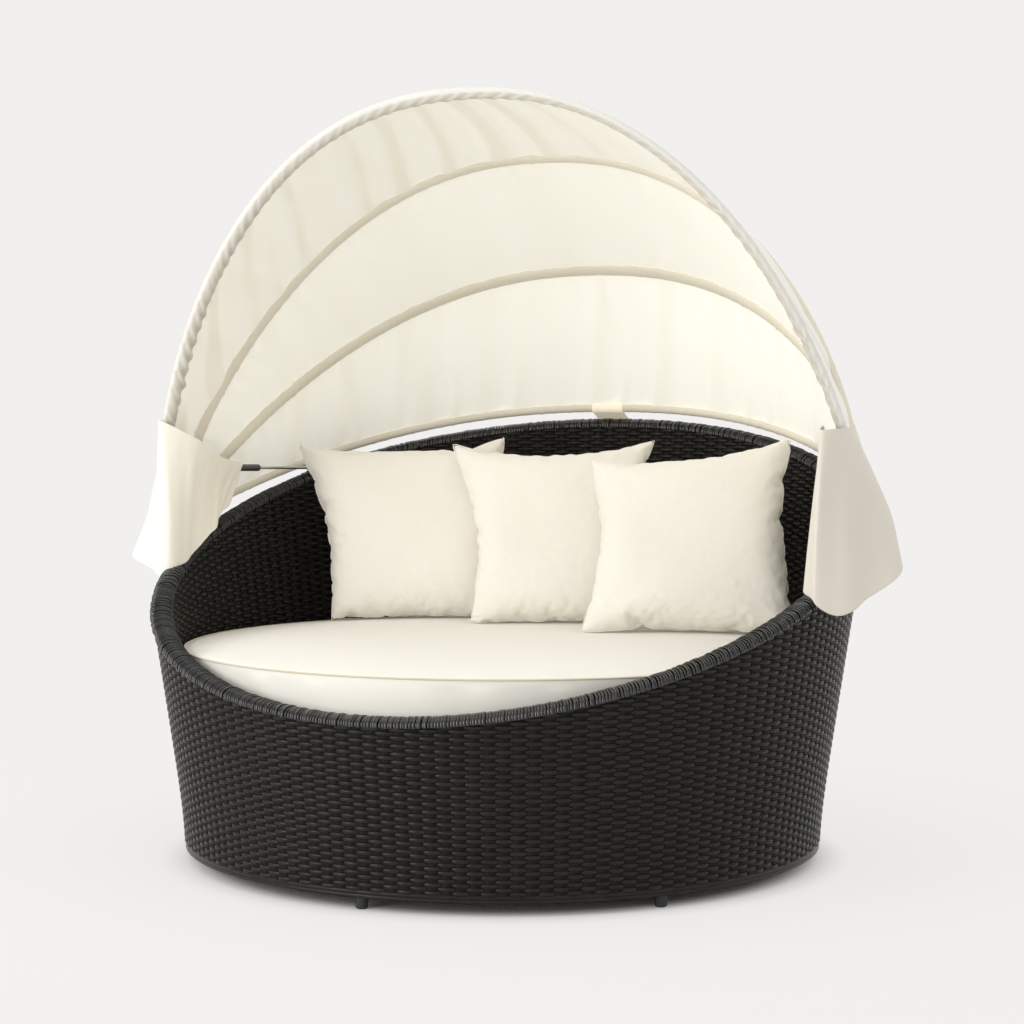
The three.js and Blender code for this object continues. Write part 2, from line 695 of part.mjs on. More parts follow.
function strutBody(side) {
  const { ball, along, length, stroke, spare } = strutEnds(side);
  const end = length - rodSocketRadius - stroke;
  const neck = strutSocketRadius * Math.SQRT1_2;
  const bottom = end - stroke - spare;
  const shoulder = [[neck, neck], [neck, strutSocketRadius + strutBodyRadius]];
  const barrel = [[strutBodyRadius, 2 * strutBodyRadius], [strutBodyRadius, end - strutRodRadius]];
  const mouth = [[strutBore + strutRodRadius / 2, end], [strutBore, end]];
  const bore = [[strutBore, bottom], [0, bottom]];
  const outline = [...socket(strutSocketRadius), ...shoulder, ...barrel, ...mouth, ...bore];
  return turnedAlong(ball, along, outline, 12);
}

function strutRod(side) {
  const { eye, along, stroke, spare } = strutEnds(side);
  const end = rodSocketRadius + stroke + spare;
  const rod = [[strutRodRadius, rodSocketRadius], [strutRodRadius, end], [0, end]];
  return turnedAlong(eye, along.clone().negate(), [...socket(rodSocketRadius), ...rod], 10);
}

function strutStud(side) {
  const { leg } = strutEnds(side);
  const [near, far] = [bowTubeRadius - studCollarHeight, bowTubeRadius + studLength - 2 * seatGap];
  const collarEnd = bowTubeRadius + studCollarHeight;
  const collar = [[0, near], [studCollarRadius, near], [studCollarRadius, collarEnd]];
  const outline = [...collar, [studRadius, collarEnd], [studRadius, far], [0, far]];
  const pin = turnedAlong(leg, new THREE.Vector3(-side, 0, 0), outline, 12);
  return geometryOf(solidOf(pin).subtract(bowSolid(frontBow, bowTubeRadius + seatGap)));
}

function strutRimFoot(side) {
  const { theta, rimTop, eye } = strutEnds(side);
  const slope = Math.atan2(rimRise * Math.sin(theta), Math.hypot(eye.x, eye.y));
  const block = new THREE.BoxGeometry(footLength, footWidth, footHeight + cutOverrun);
  block.translate(0, 0, (footHeight - cutOverrun) / 2).rotateY(-slope).rotateZ(theta);
  block.translate(eye.x, eye.y, rimTop);
  const base = new THREE.Vector3(eye.x, eye.y, rimTop);
  const top = new THREE.Vector3(eye.x, eye.y, eye.z - rodSocketRadius - 2 * seatGap);
  const post = solidOf(cylinderBetween(base, top, footPostRadius, 10));
  return geometryOf(solidOf(block).add(post).subtract(wallEnvelope(seatGap)));
}

// Soft pieces: the cushion is as wide as the wall lets it be
const cushionRadius = wallRadiusAt(cushionEdgeHeight) - wallDepth - cushionGap;

function seatCushion() {
  const bottom = deckTopHeight + seatGap;
  const bottomRadius = cushionRadius - wallLeanShare * (cushionEdgeHeight - deckTopHeight);
  const middle = [(bottomRadius + cushionRadius) / 2 - cushionSideDraw, (bottom + cushionEdgeHeight) / 2];
  const slope = cushionRadius - cushionFlatRadius;
  const crownShares = [[0.12, 0.34], [0.36, 0.72], [0.7, 0.94], [1, 1]];
  const side = [
    [bottomRadius - cushionEdgeRound, bottom],
    [bottomRadius, bottom + cushionEdgeRound],
    middle,
    [cushionRadius, cushionEdgeHeight - cushionEdgeRound],
    [cushionRadius - cushionEdgeRound / 4, cushionEdgeHeight],
  ];
  const crown = crownShares.map(([inShare, upShare]) => [
    cushionRadius - inShare * slope,
    cushionEdgeHeight + upShare * cushionCrown,
  ]);
  const top = [0, cushionEdgeHeight + cushionCrown];
  return turnedAlong(new THREE.Vector3(), up, [[0, bottom], ...side, ...crown, top], ringSegments);
}

// A square pillow whose sides draw in between its corners; its front faces -Y
function pillowShape() {
  const size = pillowCells + 1;
  const corners = [];
  const numbers = [{}, {}];
  const half = pillowSize / 2;
  for (const face of [0, 1]) {
    for (let i = 0; i < size; i += 1) {
      for (let j = 0; j < size; j += 1) {
        const [u, v] = [(2 * i) / pillowCells - 1, (2 * j) / pillowCells - 1];
        const edge = i === 0 || j === 0 || i === pillowCells || j === pillowCells;
        if (edge && face === 1) {
          numbers[1][i * size + j] = numbers[0][i * size + j];
          continue;
        }
        const swell = edge ? 0 : ((1 - u * u) * (1 - v * v)) ** pillowSwellShare;
        const x = half * u * (1 - pillowPinchShare * (1 - v * v));
        const z = half * v * (1 - pillowPinchShare * (1 - u * u));
        numbers[face][i * size + j] = corners.length;
        corners.push(new THREE.Vector3(x, ((face === 0 ? -1 : 1) * swell * pillowThickness) / 2, z));
      }
    }
  }
  const triangles = [];
  for (const face of [0, 1]) {
    for (let i = 0; i < pillowCells; i += 1) {
      for (let j = 0; j < pillowCells; j += 1) {
        const [a, b] = [i * size + j, (i + 1) * size + j].map((k) => numbers[face][k]);
        const [c, d] = [(i + 1) * size + j + 1, i * size + j + 1].map((k) => numbers[face][k]);
        triangles.push(...(face === 0 ? [a, b, c, a, c, d] : [a, c, b, a, d, c]));
      }
    }
  }
  return facingOut(corners, triangles);
}

function pillow(spec) {
  const mesh = named(spec.name, pillowShape(), 'pad');
  mesh.rotation.set(-spec.lean * degree, -spec.roll * degree, spec.yaw * degree, 'ZXY');
  mesh.updateMatrix();
  const turned = mesh.geometry.clone().applyMatrix4(mesh.matrix);
  turned.computeBoundingBox();
  const rest = cushionEdgeHeight + cushionCrown + seatGap - turned.boundingBox.min.z;
  const [x, y] = spec.placeShares.map((share) => share * cushionRadius);
  mesh.position.set(x, y, rest);
  return mesh;
}

// Assembly
const sides = [['left', -1], ['right', 1]];

function frameGroup() {
  const group = new THREE.Group();
  group.add(
    named('base_ring', frameRing(baseRingRadius, baseRingHeight, ringTubeRadius), 'frame'),
    named('seat_ring', frameRing(seatRingRadius, seatRingHeight, ringTubeRadius), 'frame'),
    named('rim_tube', tubeRing(rimTubeCentre, rimTubeRadius, wallSegments), 'frame'),
    ...uprights(),
    ...crossBeams(),
    named('centre_leg', centreLeg(), 'frame'),
    ...glides(),
    named('seat_deck', seatDeck(), 'frame'),
  );
  return group;
}

function wickerGroup() {
  const group = new THREE.Group();
  group.add(
    named('outer_wicker_skin', outerSkin(), 'wicker'),
    named('inner_wicker_skin', innerSkin(), 'wicker'),
    named('rim_wrap', rimBand(), 'wicker'),
  );
  return group;
}

function canopyGroup() {
  const group = new THREE.Group();
  group.add(
    ...[frontBow, secondBow, thirdBow, rearBow].map(bow),
    named('front_canopy_panel', canopyPanel(secondBow, frontBow), 'cloth'),
    named('middle_canopy_panel', canopyPanel(thirdBow, secondBow), 'cloth'),
    named('rear_canopy_panel', canopyPanel(rearBow, thirdBow), 'cloth'),
    named('side_flap_left', sideFlap(-1, leftFlapShares), 'cloth'),
    named('side_flap_right', sideFlap(1, rightFlapShares), 'cloth'),
    named('rear_strap', rearStrap(), 'cloth'),
  );
  return group;
}

function hardwareGroup() {
  const group = new THREE.Group();
  sides.forEach(([word, side]) => {
    group.add(
      named(`hinge_bracket_${word}`, hingeBracket(side), 'frame'),
      named(`pivot_bolt_${word}`, pivotBolt(side), 'steel'),
      named(`pivot_nut_${word}`, pivotNut(side), 'steel'),
      named(`strut_body_${word}`, strutBody(side), 'strut'),
      named(`strut_rod_${word}`, strutRod(side), 'steel'),
      named(`strut_stud_${word}`, strutStud(side), 'steel'),
      named(`strut_rim_foot_${word}`, strutRimFoot(side), 'strut'),
    );
  });
  return group;
}

function cushionGroup() {
  const group = new THREE.Group();
  group.add(named('seat_cushion', seatCushion(), 'pad'), ...pillows.map(pillow));
  return group;
}

const daybed = new THREE.Group();
daybed.add(frameGroup(), wickerGroup(), canopyGroup(), hardwareGroup(), cushionGroup());

export default daybed;
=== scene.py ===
import math

import bmesh
import bpy
import numpy as np
from mathutils import Matrix, Vector


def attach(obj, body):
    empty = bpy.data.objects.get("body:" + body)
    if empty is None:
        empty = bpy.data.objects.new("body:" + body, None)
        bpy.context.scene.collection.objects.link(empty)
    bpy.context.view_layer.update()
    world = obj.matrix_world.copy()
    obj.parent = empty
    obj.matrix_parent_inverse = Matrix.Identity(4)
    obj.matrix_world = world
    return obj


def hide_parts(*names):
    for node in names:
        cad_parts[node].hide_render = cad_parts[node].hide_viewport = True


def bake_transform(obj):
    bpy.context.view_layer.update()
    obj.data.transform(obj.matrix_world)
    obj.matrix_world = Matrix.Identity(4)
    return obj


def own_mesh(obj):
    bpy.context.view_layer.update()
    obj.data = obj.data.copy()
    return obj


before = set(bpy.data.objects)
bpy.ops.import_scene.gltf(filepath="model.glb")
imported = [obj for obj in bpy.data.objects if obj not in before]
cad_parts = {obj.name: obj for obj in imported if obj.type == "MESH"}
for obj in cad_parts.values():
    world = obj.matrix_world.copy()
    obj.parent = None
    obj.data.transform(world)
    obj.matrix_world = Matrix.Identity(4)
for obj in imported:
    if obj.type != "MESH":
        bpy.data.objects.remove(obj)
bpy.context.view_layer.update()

# Camera, solved from the round rim and the cushion edge
camera = {
    "azimuth": 20.29, "elevation": 2.02, "distance": 5.605, "target": (0, 0, 0.88),
    "lens": 79.96, "sensor": 36, "shiftX": 0.0093, "shiftY": -0.0177,
}


def newObject(name, data):
    made = bpy.data.objects.new(name, data)
    bpy.context.collection.objects.link(made)
    return made


def evaluatedMesh(piece):
    depsgraph = bpy.context.evaluated_depsgraph_get()
    return bpy.data.meshes.new_from_object(piece.evaluated_get(depsgraph), depsgraph=depsgraph)


def placeCamera(spec):
    azimuth, elevation = math.radians(spec["azimuth"]), math.radians(spec["elevation"])
    level = math.cos(elevation)
    back = Vector((math.sin(azimuth) * level, -math.cos(azimuth) * level, math.sin(elevation)))
    data = bpy.data.cameras.new("photoCamera")
    data.lens, data.sensor_width = spec["lens"], spec["sensor"]
    data.shift_x, data.shift_y = spec["shiftX"], spec["shiftY"]
    eye = newObject("photoCamera", data)
    eye.location = Vector(spec["target"]) + back * spec["distance"]
    eye.rotation_euler = back.to_track_quat("Z", "Y").to_euler()
    bpy.context.scene.camera = eye
    bpy.context.scene.view_settings.view_transform = "Standard"


placeCamera(camera)
print("camera placed")


# Node graphs: a wire is a node's output, on which sums are written as expressions
class Wire:
    def __init__(self, graph, socket):
        self.graph, self.socket = graph, socket

    def maths(self, operation, *others):
        return self.graph.maths(operation, self, *others)

    def __add__(self, other):
        return self.maths("ADD", other)

    def __mul__(self, other):
        return self.maths("MULTIPLY", other)

    def __sub__(self, other):
        return self.maths("SUBTRACT", other)

    def __truediv__(self, other):
        return self.maths("DIVIDE", other)

    def __rsub__(self, other):
        return self.graph.maths("SUBTRACT", other, self)

    def __rtruediv__(self, other):
        return self.graph.maths("DIVIDE", other, self)

    __radd__, __rmul__ = __add__, __mul__


class Graph:
    def __init__(self, tree):
        self.tree = tree

    def add(self, kind, settings=(), inputs=(), output=0):
        node = self.tree.nodes.new(kind)
        for name, value in dict(settings).items():
            if name == "stops":
                self.setStops(node.color_ramp, value)
            else:
                setattr(node, name, value)
        for key, value in (inputs.items() if isinstance(inputs, dict) else enumerate(inputs)):
            if isinstance(value, Wire):
                self.tree.links.new(value.socket, node.inputs[key])
            elif value is not None:
                node.inputs[key].default_value = value
        return Wire(self, node.outputs[output]) if len(node.outputs) else None

    def maths(self, operation, *terms):
        return self.add("ShaderNodeMath", {"operation": operation}, terms)

    def setStops(self, ramp, stops):
        while len(ramp.elements) < len(stops):
            ramp.elements.new(0.5)
        for element, (place, shade) in zip(ramp.elements, stops):
            element.position, element.color = place, (*shade, 1)


def part(wire, name):
    return Wire(wire.graph, wire.socket.node.outputs[name])


# Materials
def surface(name, roughness=0.5, metallic=0.0, sheen=0.0, coat=0.0, specular=0.5):
    material = bpy.data.materials.new(name)
    material.use_nodes = True
    material.node_tree.nodes.clear()
    graph = Graph(material.node_tree)
    shader = graph.add("ShaderNodeBsdfPrincipled", {}, {
        "Roughness": roughness, "Metallic": metallic, "Sheen Weight": sheen,
        "Coat Weight": coat, "Specular IOR Level": specular,
    })
    graph.add("ShaderNodeOutputMaterial", {}, {"Surface": shader})
    return material, graph, shader.socket.node


def feed(graph, shader, **wires):
    for name, wire in wires.items():
        graph.tree.links.new(wire.socket, shader.inputs[name.replace("_", " ")])


def objectPlace(graph):
    return graph.add("ShaderNodeTexCoord", output="Object")


def noise(graph, place, scale, detail=3.0, roughness=0.55):
    return graph.add("ShaderNodeTexNoise", {}, {
        "Vector": place, "Scale": scale, "Detail": detail, "Roughness": roughness,
    })


def grainNoise(graph, place, stretch, scale, detail=2.0, distortion=0.0):
    # noise drawn out along an axis, for slubs, brushing and wood
    mapped = graph.add("ShaderNodeMapping", {}, {"Vector": place, "Scale": stretch})
    return graph.add("ShaderNodeTexNoise", {}, {
        "Vector": mapped, "Scale": scale, "Detail": detail, "Distortion": distortion,
    })


def ranged(graph, value, low, high):
    return graph.add("ShaderNodeMapRange", {}, {"Value": value, "From Min": low, "From Max": high})


def mixed(graph, factor, first, second):
    return graph.add("ShaderNodeMix", {"data_type": "RGBA"}, {0: factor, 6: first, 7: second}, 2)


def bumped(graph, height, strength, distance):
    return graph.add("ShaderNodeBump", {}, {"Height": height, "Strength": strength, "Distance": distance})


def clothMaterial(name, shade, dark, weave=1500.0, blotch=6.0, depth=0.25, glow=0.0, foldShade=None):
    # glow is light given off, set so that the pale cloth looks as bright as it does in the photo
    material, graph, shader = surface(name, roughness=0.92, sheen=0.15, specular=0.2)
    # painted light: the cloth gives off a glow in its own colour, though it is no lamp, standing in for light
    # it gets from bounce and through thin cloth
    shader.inputs["Emission Strength"].default_value = glow
    shader.inputs["Emission Color"].default_value = (*shade, 1)
    place = objectPlace(graph)
    soft = noise(graph, place, blotch, 4.0)
    thread = noise(graph, place, weave, 1.0)
    slub = grainNoise(graph, place, (1.0, 1.0, 0.08), 420.0)
    mask = ranged(graph, soft, 0.3, 0.75)
    colour = mixed(graph, mask * 0.6 + slub * 0.25, (*shade, 1), (*dark, 1))
    # painted shade: the colour darkens toward the fold colour where the stored crease values mark hollows and
    # creases
    if foldShade:
        crease = graph.add("ShaderNodeAttribute", {"attribute_name": "creaseDepth"}, output="Fac")
        colour = mixed(graph, crease, colour, (*foldShade, 1))
        # painted light: only the inner side glows, for light coming through the thin cloth
        inside = graph.add("ShaderNodeAttribute", {"attribute_name": "innerSide"}, output="Fac")
        feed(graph, shader, Emission_Color=mixed(graph, inside, (0, 0, 0, 1), colour))
    feed(graph, shader, Base_Color=colour, Roughness=0.86 + thread * 0.1)
    feed(graph, shader, Normal=bumped(graph, thread * 0.5 + slub * 0.5, depth, 0.0006))
    return material


def strandMaterial(name, shade, dark, roughness, specular):
    material, graph, shader = surface(name, roughness=roughness, specular=specular)
    place = objectPlace(graph)
    patch = noise(graph, place, 38.0, 3.0)
    grain = grainNoise(graph, place, (1.0, 1.0, 9.0), 260.0)
    mask = ranged(graph, patch, 0.32, 0.7)
    feed(graph, shader, Base_Color=mixed(graph, mask, (*shade, 1), (*dark, 1)))
    feed(graph, shader, Roughness=roughness - 0.1 + patch * 0.2, Normal=bumped(graph, grain, 0.35, 0.0004))
    return material


def paintMaterial(name, shade, roughness, metallic=0.0, grain=900.0, coat=0.0):
    material, graph, shader = surface(name, roughness, metallic, coat=coat)
    place = objectPlace(graph)
    fine, wide = noise(graph, place, grain, 2.0), noise(graph, place, 14.0, 4.0)
    worn = tuple(min(1, 1.35 * c + 0.006) for c in shade)
    feed(graph, shader, Base_Color=mixed(graph, wide * 0.55, (*shade, 1), (*worn, 1)))
    feed(graph, shader, Roughness=roughness - 0.06 + wide * 0.14, Normal=bumped(graph, fine, 0.15, 0.0003))
    return material


def brushedMaterial(name, shade, roughness):
    material, graph, shader = surface(name, roughness, 1.0)
    place = objectPlace(graph)
    line = grainNoise(graph, place, (40.0, 2.0, 40.0), 60.0)
    wide = noise(graph, place, 30.0, 3.0)
    dull = tuple(0.72 * c for c in shade)
    feed(graph, shader, Base_Color=mixed(graph, wide * 0.6, (*shade, 1), (*dull, 1)))
    feed(graph, shader, Roughness=roughness - 0.05 + line * 0.18, Normal=bumped(graph, line, 0.12, 0.0002))
    return material


def plywoodMaterial(name):
    material, graph, shader = surface(name, roughness=0.75)
    place = objectPlace(graph)
    grain = grainNoise(graph, place, (1.5, 22.0, 4.0), 7.0, 5.0, 0.6)
    stops = [(0.25, (0.19, 0.12, 0.07)), (0.75, (0.42, 0.3, 0.19))]
    ramp = graph.add("ShaderNodeValToRGB", {"stops": stops}, {"Fac": grain})
    feed(graph, shader, Base_Color=ramp, Roughness=0.66 + grain * 0.2)
    feed(graph, shader, Normal=bumped(graph, grain, 0.2, 0.0005))
    return material


# canopyShaded is a painted-shade copy of canopyIvory with less glow, for the front gore; the glow of both is
# painted light
canopyIvory = clothMaterial(
    "canopyIvory", (0.93, 0.917, 0.855), (0.90, 0.883, 0.81),
    glow=0.21, foldShade=(0.80, 0.765, 0.66),
)
canopyShaded = clothMaterial(
    "canopyShaded", (0.92, 0.905, 0.84), (0.88, 0.86, 0.785),
    glow=0.165, foldShade=(0.76, 0.715, 0.60),
)
# flapShaded is a painted-shade copy of flapIvory, for the right flap
flapIvory = clothMaterial("flapIvory", (0.88, 0.842, 0.745), (0.85, 0.806, 0.70))
flapShaded = clothMaterial("flapShaded", (0.72, 0.68, 0.60), (0.69, 0.645, 0.56))
# the glow of sleeveBeige and strapTan is painted light; on the strap it lights the shaded underside
sleeveBeige = clothMaterial("sleeveBeige", (0.76, 0.71, 0.60), (0.69, 0.64, 0.53), glow=0.04)
strapTan = clothMaterial("strapTan", (0.80, 0.72, 0.58), (0.74, 0.66, 0.52), glow=0.4)
sleeveWhite = clothMaterial(
    "sleeveWhite", (0.76, 0.75, 0.705), (0.67, 0.655, 0.60),
    foldShade=(0.53, 0.485, 0.405),
)
seamTan = clothMaterial("seamTan", (0.66, 0.57, 0.43), (0.58, 0.49, 0.36))
# the glow of cushionIvory and pillowIvory is painted light, standing in for light bounced onto them
cushionIvory = clothMaterial(
    "cushionIvory", (0.805, 0.783, 0.717), (0.775, 0.75, 0.678),
    blotch=3.0, glow=0.075,
)
pillowIvory = clothMaterial("pillowIvory", (0.83, 0.802, 0.73), (0.80, 0.765, 0.68), blotch=4.0, glow=0.03)
strandEspresso = strandMaterial("strandEspresso", (0.0155, 0.0135, 0.0115), (0.008, 0.007, 0.006), 0.32, 0.22)
rimEspresso = strandMaterial("rimEspresso", (0.007, 0.0062, 0.0056), (0.004, 0.0035, 0.0031), 0.16, 0.75)
stakeEspresso = strandMaterial("stakeEspresso", (0.0075, 0.0048, 0.0038), (0.0042, 0.003, 0.0025), 0.6, 0.2)
framePaint = paintMaterial("framePaint", (0.022, 0.02, 0.018), 0.45)
bracketPaint = paintMaterial("bracketPaint", (0.016, 0.016, 0.016), 0.4)
strutBlack = paintMaterial("strutBlack", (0.008, 0.008, 0.008), 0.28, coat=0.4)
glidePlastic = paintMaterial("glidePlastic", (0.012, 0.012, 0.012), 0.5)
bowAluminium = brushedMaterial("bowAluminium", (0.62, 0.6, 0.56), 0.36)
fixingSteel = brushedMaterial("fixingSteel", (0.6, 0.6, 0.6), 0.28)
deckPlywood = plywoodMaterial("deckPlywood")
print("materials made")


# Meshes
def meshObject(name, vertices, faces, material, smooth=True):
    mesh = bpy.data.meshes.new(name)
    mesh.from_pydata([tuple(map(float, p)) for p in vertices], [], [tuple(map(int, f)) for f in faces])
    mesh.materials.append(material)
    mesh.update()
    if smooth:
        mesh.shade_smooth()
    return newObject(name, mesh)


def faceOutwards(piece):
    work = bmesh.new()
    work.from_mesh(piece.data)
    bmesh.ops.recalc_face_normals(work, faces=work.faces)
    work.to_mesh(piece.data)
    work.free()
    piece.data.update()
    return piece


def unit(vectors):
    return vectors / np.maximum(np.linalg.norm(vectors, axis=-1, keepdims=True), 1e-9)


def gridNormals(points):
    return unit(np.cross(np.gradient(points, axis=0), np.gradient(points, axis=1)))


def storeValues(piece, name, values):
    attribute = piece.data.attributes.new(name, "FLOAT", "POINT")
    attribute.data.foreach_set("value", values.ravel().astype(np.float32))


def printArea(name, points):
    down, across = np.diff(points, axis=0)[:, :-1], np.diff(points, axis=1)[:-1]
    area = np.linalg.norm(np.cross(down, across), axis=2).sum()
    print(name, "area", round(float(area), 3))


def gridFaces(rows, columns, joinRows=False, joinColumns=False):
    # quads between the points of a grid; joined rows or columns run back to the first
    faces = []
    for i in range(rows if joinRows else rows - 1):
        a, b = i * columns, (i + 1) % rows * columns
        for j in range(columns if joinColumns else columns - 1):
            k = (j + 1) % columns
            faces.append((a + j, a + k, b + k, b + j))
    return faces


def clothSheet(name, points, thickness, material):
    # a closed thin shell about a grid of points
    normal = gridNormals(points) * thickness / 2
    rows, columns = points.shape[:2]
    vertices = np.concatenate([(points + normal).reshape(-1, 3), (points - normal).reshape(-1, 3)])
    under, faces = rows * columns, gridFaces(rows, columns)
    faces += [tuple(under + corner for corner in face[::-1]) for face in faces]
    numbers = np.arange(under).reshape(rows, columns)
    for edge, turn in ((numbers[0], 1), (numbers[-1], -1), (numbers[:, 0], -1), (numbers[:, -1], 1)):
        faces += [(a, under + a, under + b, b)[::turn] for a, b in zip(edge[:-1], edge[1:])]
    return faceOutwards(meshObject(name, vertices, faces, material))


def smoothStep(value, low, high):
    t = np.clip((value - low) / (high - low), 0, 1)
    return t * t * (3 - 2 * t)


def curveThrough(points, count, even=False):
    # a smooth curve through points along the first axis; without even, its steps suit uneven spacing
    points = np.asarray(points, float)
    padded = np.concatenate([2 * points[:1] - points[1:2], points, 2 * points[-1:] - points[-2:-1]])
    gaps = np.sqrt(np.linalg.norm(np.diff(padded, axis=0), axis=-1, keepdims=True))
    gaps = np.ones_like(gaps) if even else gaps
    out = []
    for u in np.linspace(0, len(points) - 1, count):
        i = min(int(u), len(points) - 2)
        t = u - i
        a, b, c, d = padded[i:i + 4]
        e, f, g = gaps[i:i + 3]
        first = ((b - a) / e - (c - a) / (e + f) + (c - b) / f) * f
        last = ((c - b) / f - (d - b) / (f + g) + (d - c) / g) * f
        squared = (3 * (c - b) - 2 * first - last) * t * t
        out.append(b + first * t + squared + (2 * (b - c) + first + last) * t ** 3)
    return np.array(out)


def wavesAlong(length, seed, shortest, longest, count=14):
    # a smooth random row of folds along a length, about -1 to 1
    draw = np.random.default_rng(seed)
    waves = draw.uniform(shortest, longest, count)
    phases = draw.uniform(0, 2 * np.pi, count)
    total = sum(w * np.sin(2 * np.pi * length / w + p) for w, p in zip(waves, phases))
    return total / np.sqrt(np.sum(waves ** 2) / 2) / 1.6


# Wicker: sizes under the names of the node trees' inputs
wallDepth = 0.045
wallSizes = {
    "Base Radius": 0.775, "Lean Share": 0.153, "Lean Start": 0.08, "Lean Blend": 0.05, "Rim Side": 0.746,
    "Rim Rise": 0.316, "Rim Drop": 0.012, "Stakes": 158, "Depth": 0.0026, "Strand Height": 0.0088,
    "Strand Thickness": 0.0024,
}
rowSizes = {
    **wallSizes, "Rows": 32, "First Row": 0, "Row Pitch": 0.0089, "First Height": 0.0505, "Steps": 4,
    "Bulge": 0.0027, "Jitter": 0.001,
}
stakeSizes = {**wallSizes, "Bottom": 0.042, "Points": 12, "Strand Height": 0.025, "Strand Thickness": 0.002}
rimSizes = {
    **wallSizes, "Stakes": 760, "Points": 13, "Half Width": 0.0258, "Roll Height": 0.017,
    "Start Turn": math.radians(-12), "End Turn": math.radians(192), "Jitter": 0.0016,
    "Depth": wallDepth / 2, "Strand Height": 0.0064, "Strand Thickness": 0.0034,
}
innerDepth, innerBulge = wallDepth - wallSizes["Depth"], -rowSizes["Bulge"]
# Each piece with the sizes in which it differs from its tree's own
wicker = [
    {"name": "outerWeaveLow", "node": "outer_wicker_skin", "tree": "rows", "sizes": {}},
    {"name": "outerWeaveMiddle", "node": "outer_wicker_skin", "tree": "rows", "sizes": {"First Row": 32}},
    {"name": "outerWeaveTop", "node": "outer_wicker_skin", "tree": "rows",
     "sizes": {"First Row": 64, "Rows": 50}},
    {"name": "outerStakes", "node": "outer_wicker_skin", "tree": "stakes", "sizes": {}},
    {"name": "wickerBorder", "node": "outer_wicker_skin", "tree": "rows",
     "sizes": {"Rows": 2, "Row Pitch": 0.0085, "First Height": 0.0345, "Steps": 3, "Bulge": 0.0,
               "Jitter": 0.0004, "Strand Thickness": 0.0042}},
    {"name": "innerWeaveLow", "node": "inner_wicker_skin", "tree": "rows",
     "sizes": {"First Row": 36, "Rows": 30, "Depth": innerDepth, "Bulge": innerBulge}},
    {"name": "innerWeaveTop", "node": "inner_wicker_skin", "tree": "rows",
     "sizes": {"First Row": 66, "Rows": 48, "Depth": innerDepth, "Bulge": innerBulge}},
    {"name": "innerStakes", "node": "inner_wicker_skin", "tree": "stakes",
     "sizes": {"Bottom": 0.366, "Depth": innerDepth}},
    {"name": "rimWeave", "node": "rim_wrap", "tree": "rim", "sizes": {}},
]


def nodeTree(name, sizes):
    # a tree with an input for each size and one for the material
    tree = bpy.data.node_groups.new(name, "GeometryNodeTree")
    tree.interface.new_socket("Geometry", in_out="OUTPUT", socket_type="NodeSocketGeometry")
    kinds = {label: "Int" if isinstance(value, int) else "Float" for label, value in sizes.items()}
    kinds["Material"] = "Material"
    for label, kind in kinds.items():
        tree.interface.new_socket(label, in_out="INPUT", socket_type=f"NodeSocket{kind}")
    graph = Graph(tree)
    given = graph.add("NodeGroupInput")
    return tree, graph, {label: part(given, label) for label in kinds}


def runTree(name, tree, values):
    # evaluates a tree on an empty mesh and returns the result as a plain object
    host = newObject(name + "Host", bpy.data.meshes.new(name + "Host"))
    modifier = host.modifiers.new("nodes", "NODES")
    modifier.node_group = tree
    sockets = {item.name: item.identifier for item in tree.interface.items_tree if item.in_out == "INPUT"}
    for label, value in values.items():
        modifier[sockets[label]] = value
    host.update_tag()
    mesh = evaluatedMesh(host)
    bpy.data.objects.remove(host)
    mesh.name = name
    return newObject(name, mesh)


def wallRadius(given, height):
    # upright at the foot, leaning outwards above the lean start
    lift = ((height - given["Lean Start"]) / given["Lean Blend"]).maths("EXPONENT")
    swell = (lift + 1).maths("LOGARITHM", math.e)
    return given["Base Radius"] + given["Lean Share"] * given["Lean Blend"] * swell


def rimHeight(given, theta):
    return given["Rim Side"] - given["Rim Rise"] * theta.maths("COSINE")


def vector(graph, x, y, z):
    return graph.add("ShaderNodeCombineXYZ", {}, [x, y, z])


def around(graph, radius, theta, height):
    return vector(graph, radius * theta.maths("SINE"), radius * theta.maths("COSINE") * -1, height)


def placeOf(graph):
    split = graph.add("ShaderNodeSeparateXYZ", {}, [graph.add("GeometryNodeInputPosition")])
    return part(split, "X"), part(split, "Y"), part(split, "Z")


def moved(graph, geometry, position):
    return graph.add("GeometryNodeSetPosition", {}, {"Geometry": geometry, "Position": position})


def closeTree(graph, given, lines, normal):
    # strands along the lines with a flat section, thin along the normal
    curves = graph.add("GeometryNodeMeshToCurve", {}, [lines])
    turned = graph.add("GeometryNodeSetCurveNormal", {"mode": "FREE"}, {"Curve": curves, "Normal": normal})
    section = graph.add("GeometryNodeCurvePrimitiveQuadrilateral", {"mode": "RECTANGLE"}, {
        "Width": given["Strand Thickness"], "Height": given["Strand Height"],
    })
    swept = graph.add("GeometryNodeCurveToMesh", {}, {
        "Curve": turned, "Profile Curve": section, "Fill Caps": True,
    })
    smooth = graph.add("GeometryNodeSetShadeSmooth", {}, {"Geometry": swept, "Shade Smooth": True})
    painted = graph.add("GeometryNodeSetMaterial", {}, {"Geometry": smooth, "Material": given["Material"]})
    graph.add("NodeGroupOutput", {}, [painted])


def wovenWave(given, theta, row):
    phase = theta * given["Stakes"] * 0.5 + row * math.pi
    return (phase.maths("COSINE") * 1.45).maths("MINIMUM", 1.0).maths("MAXIMUM", -1.0)


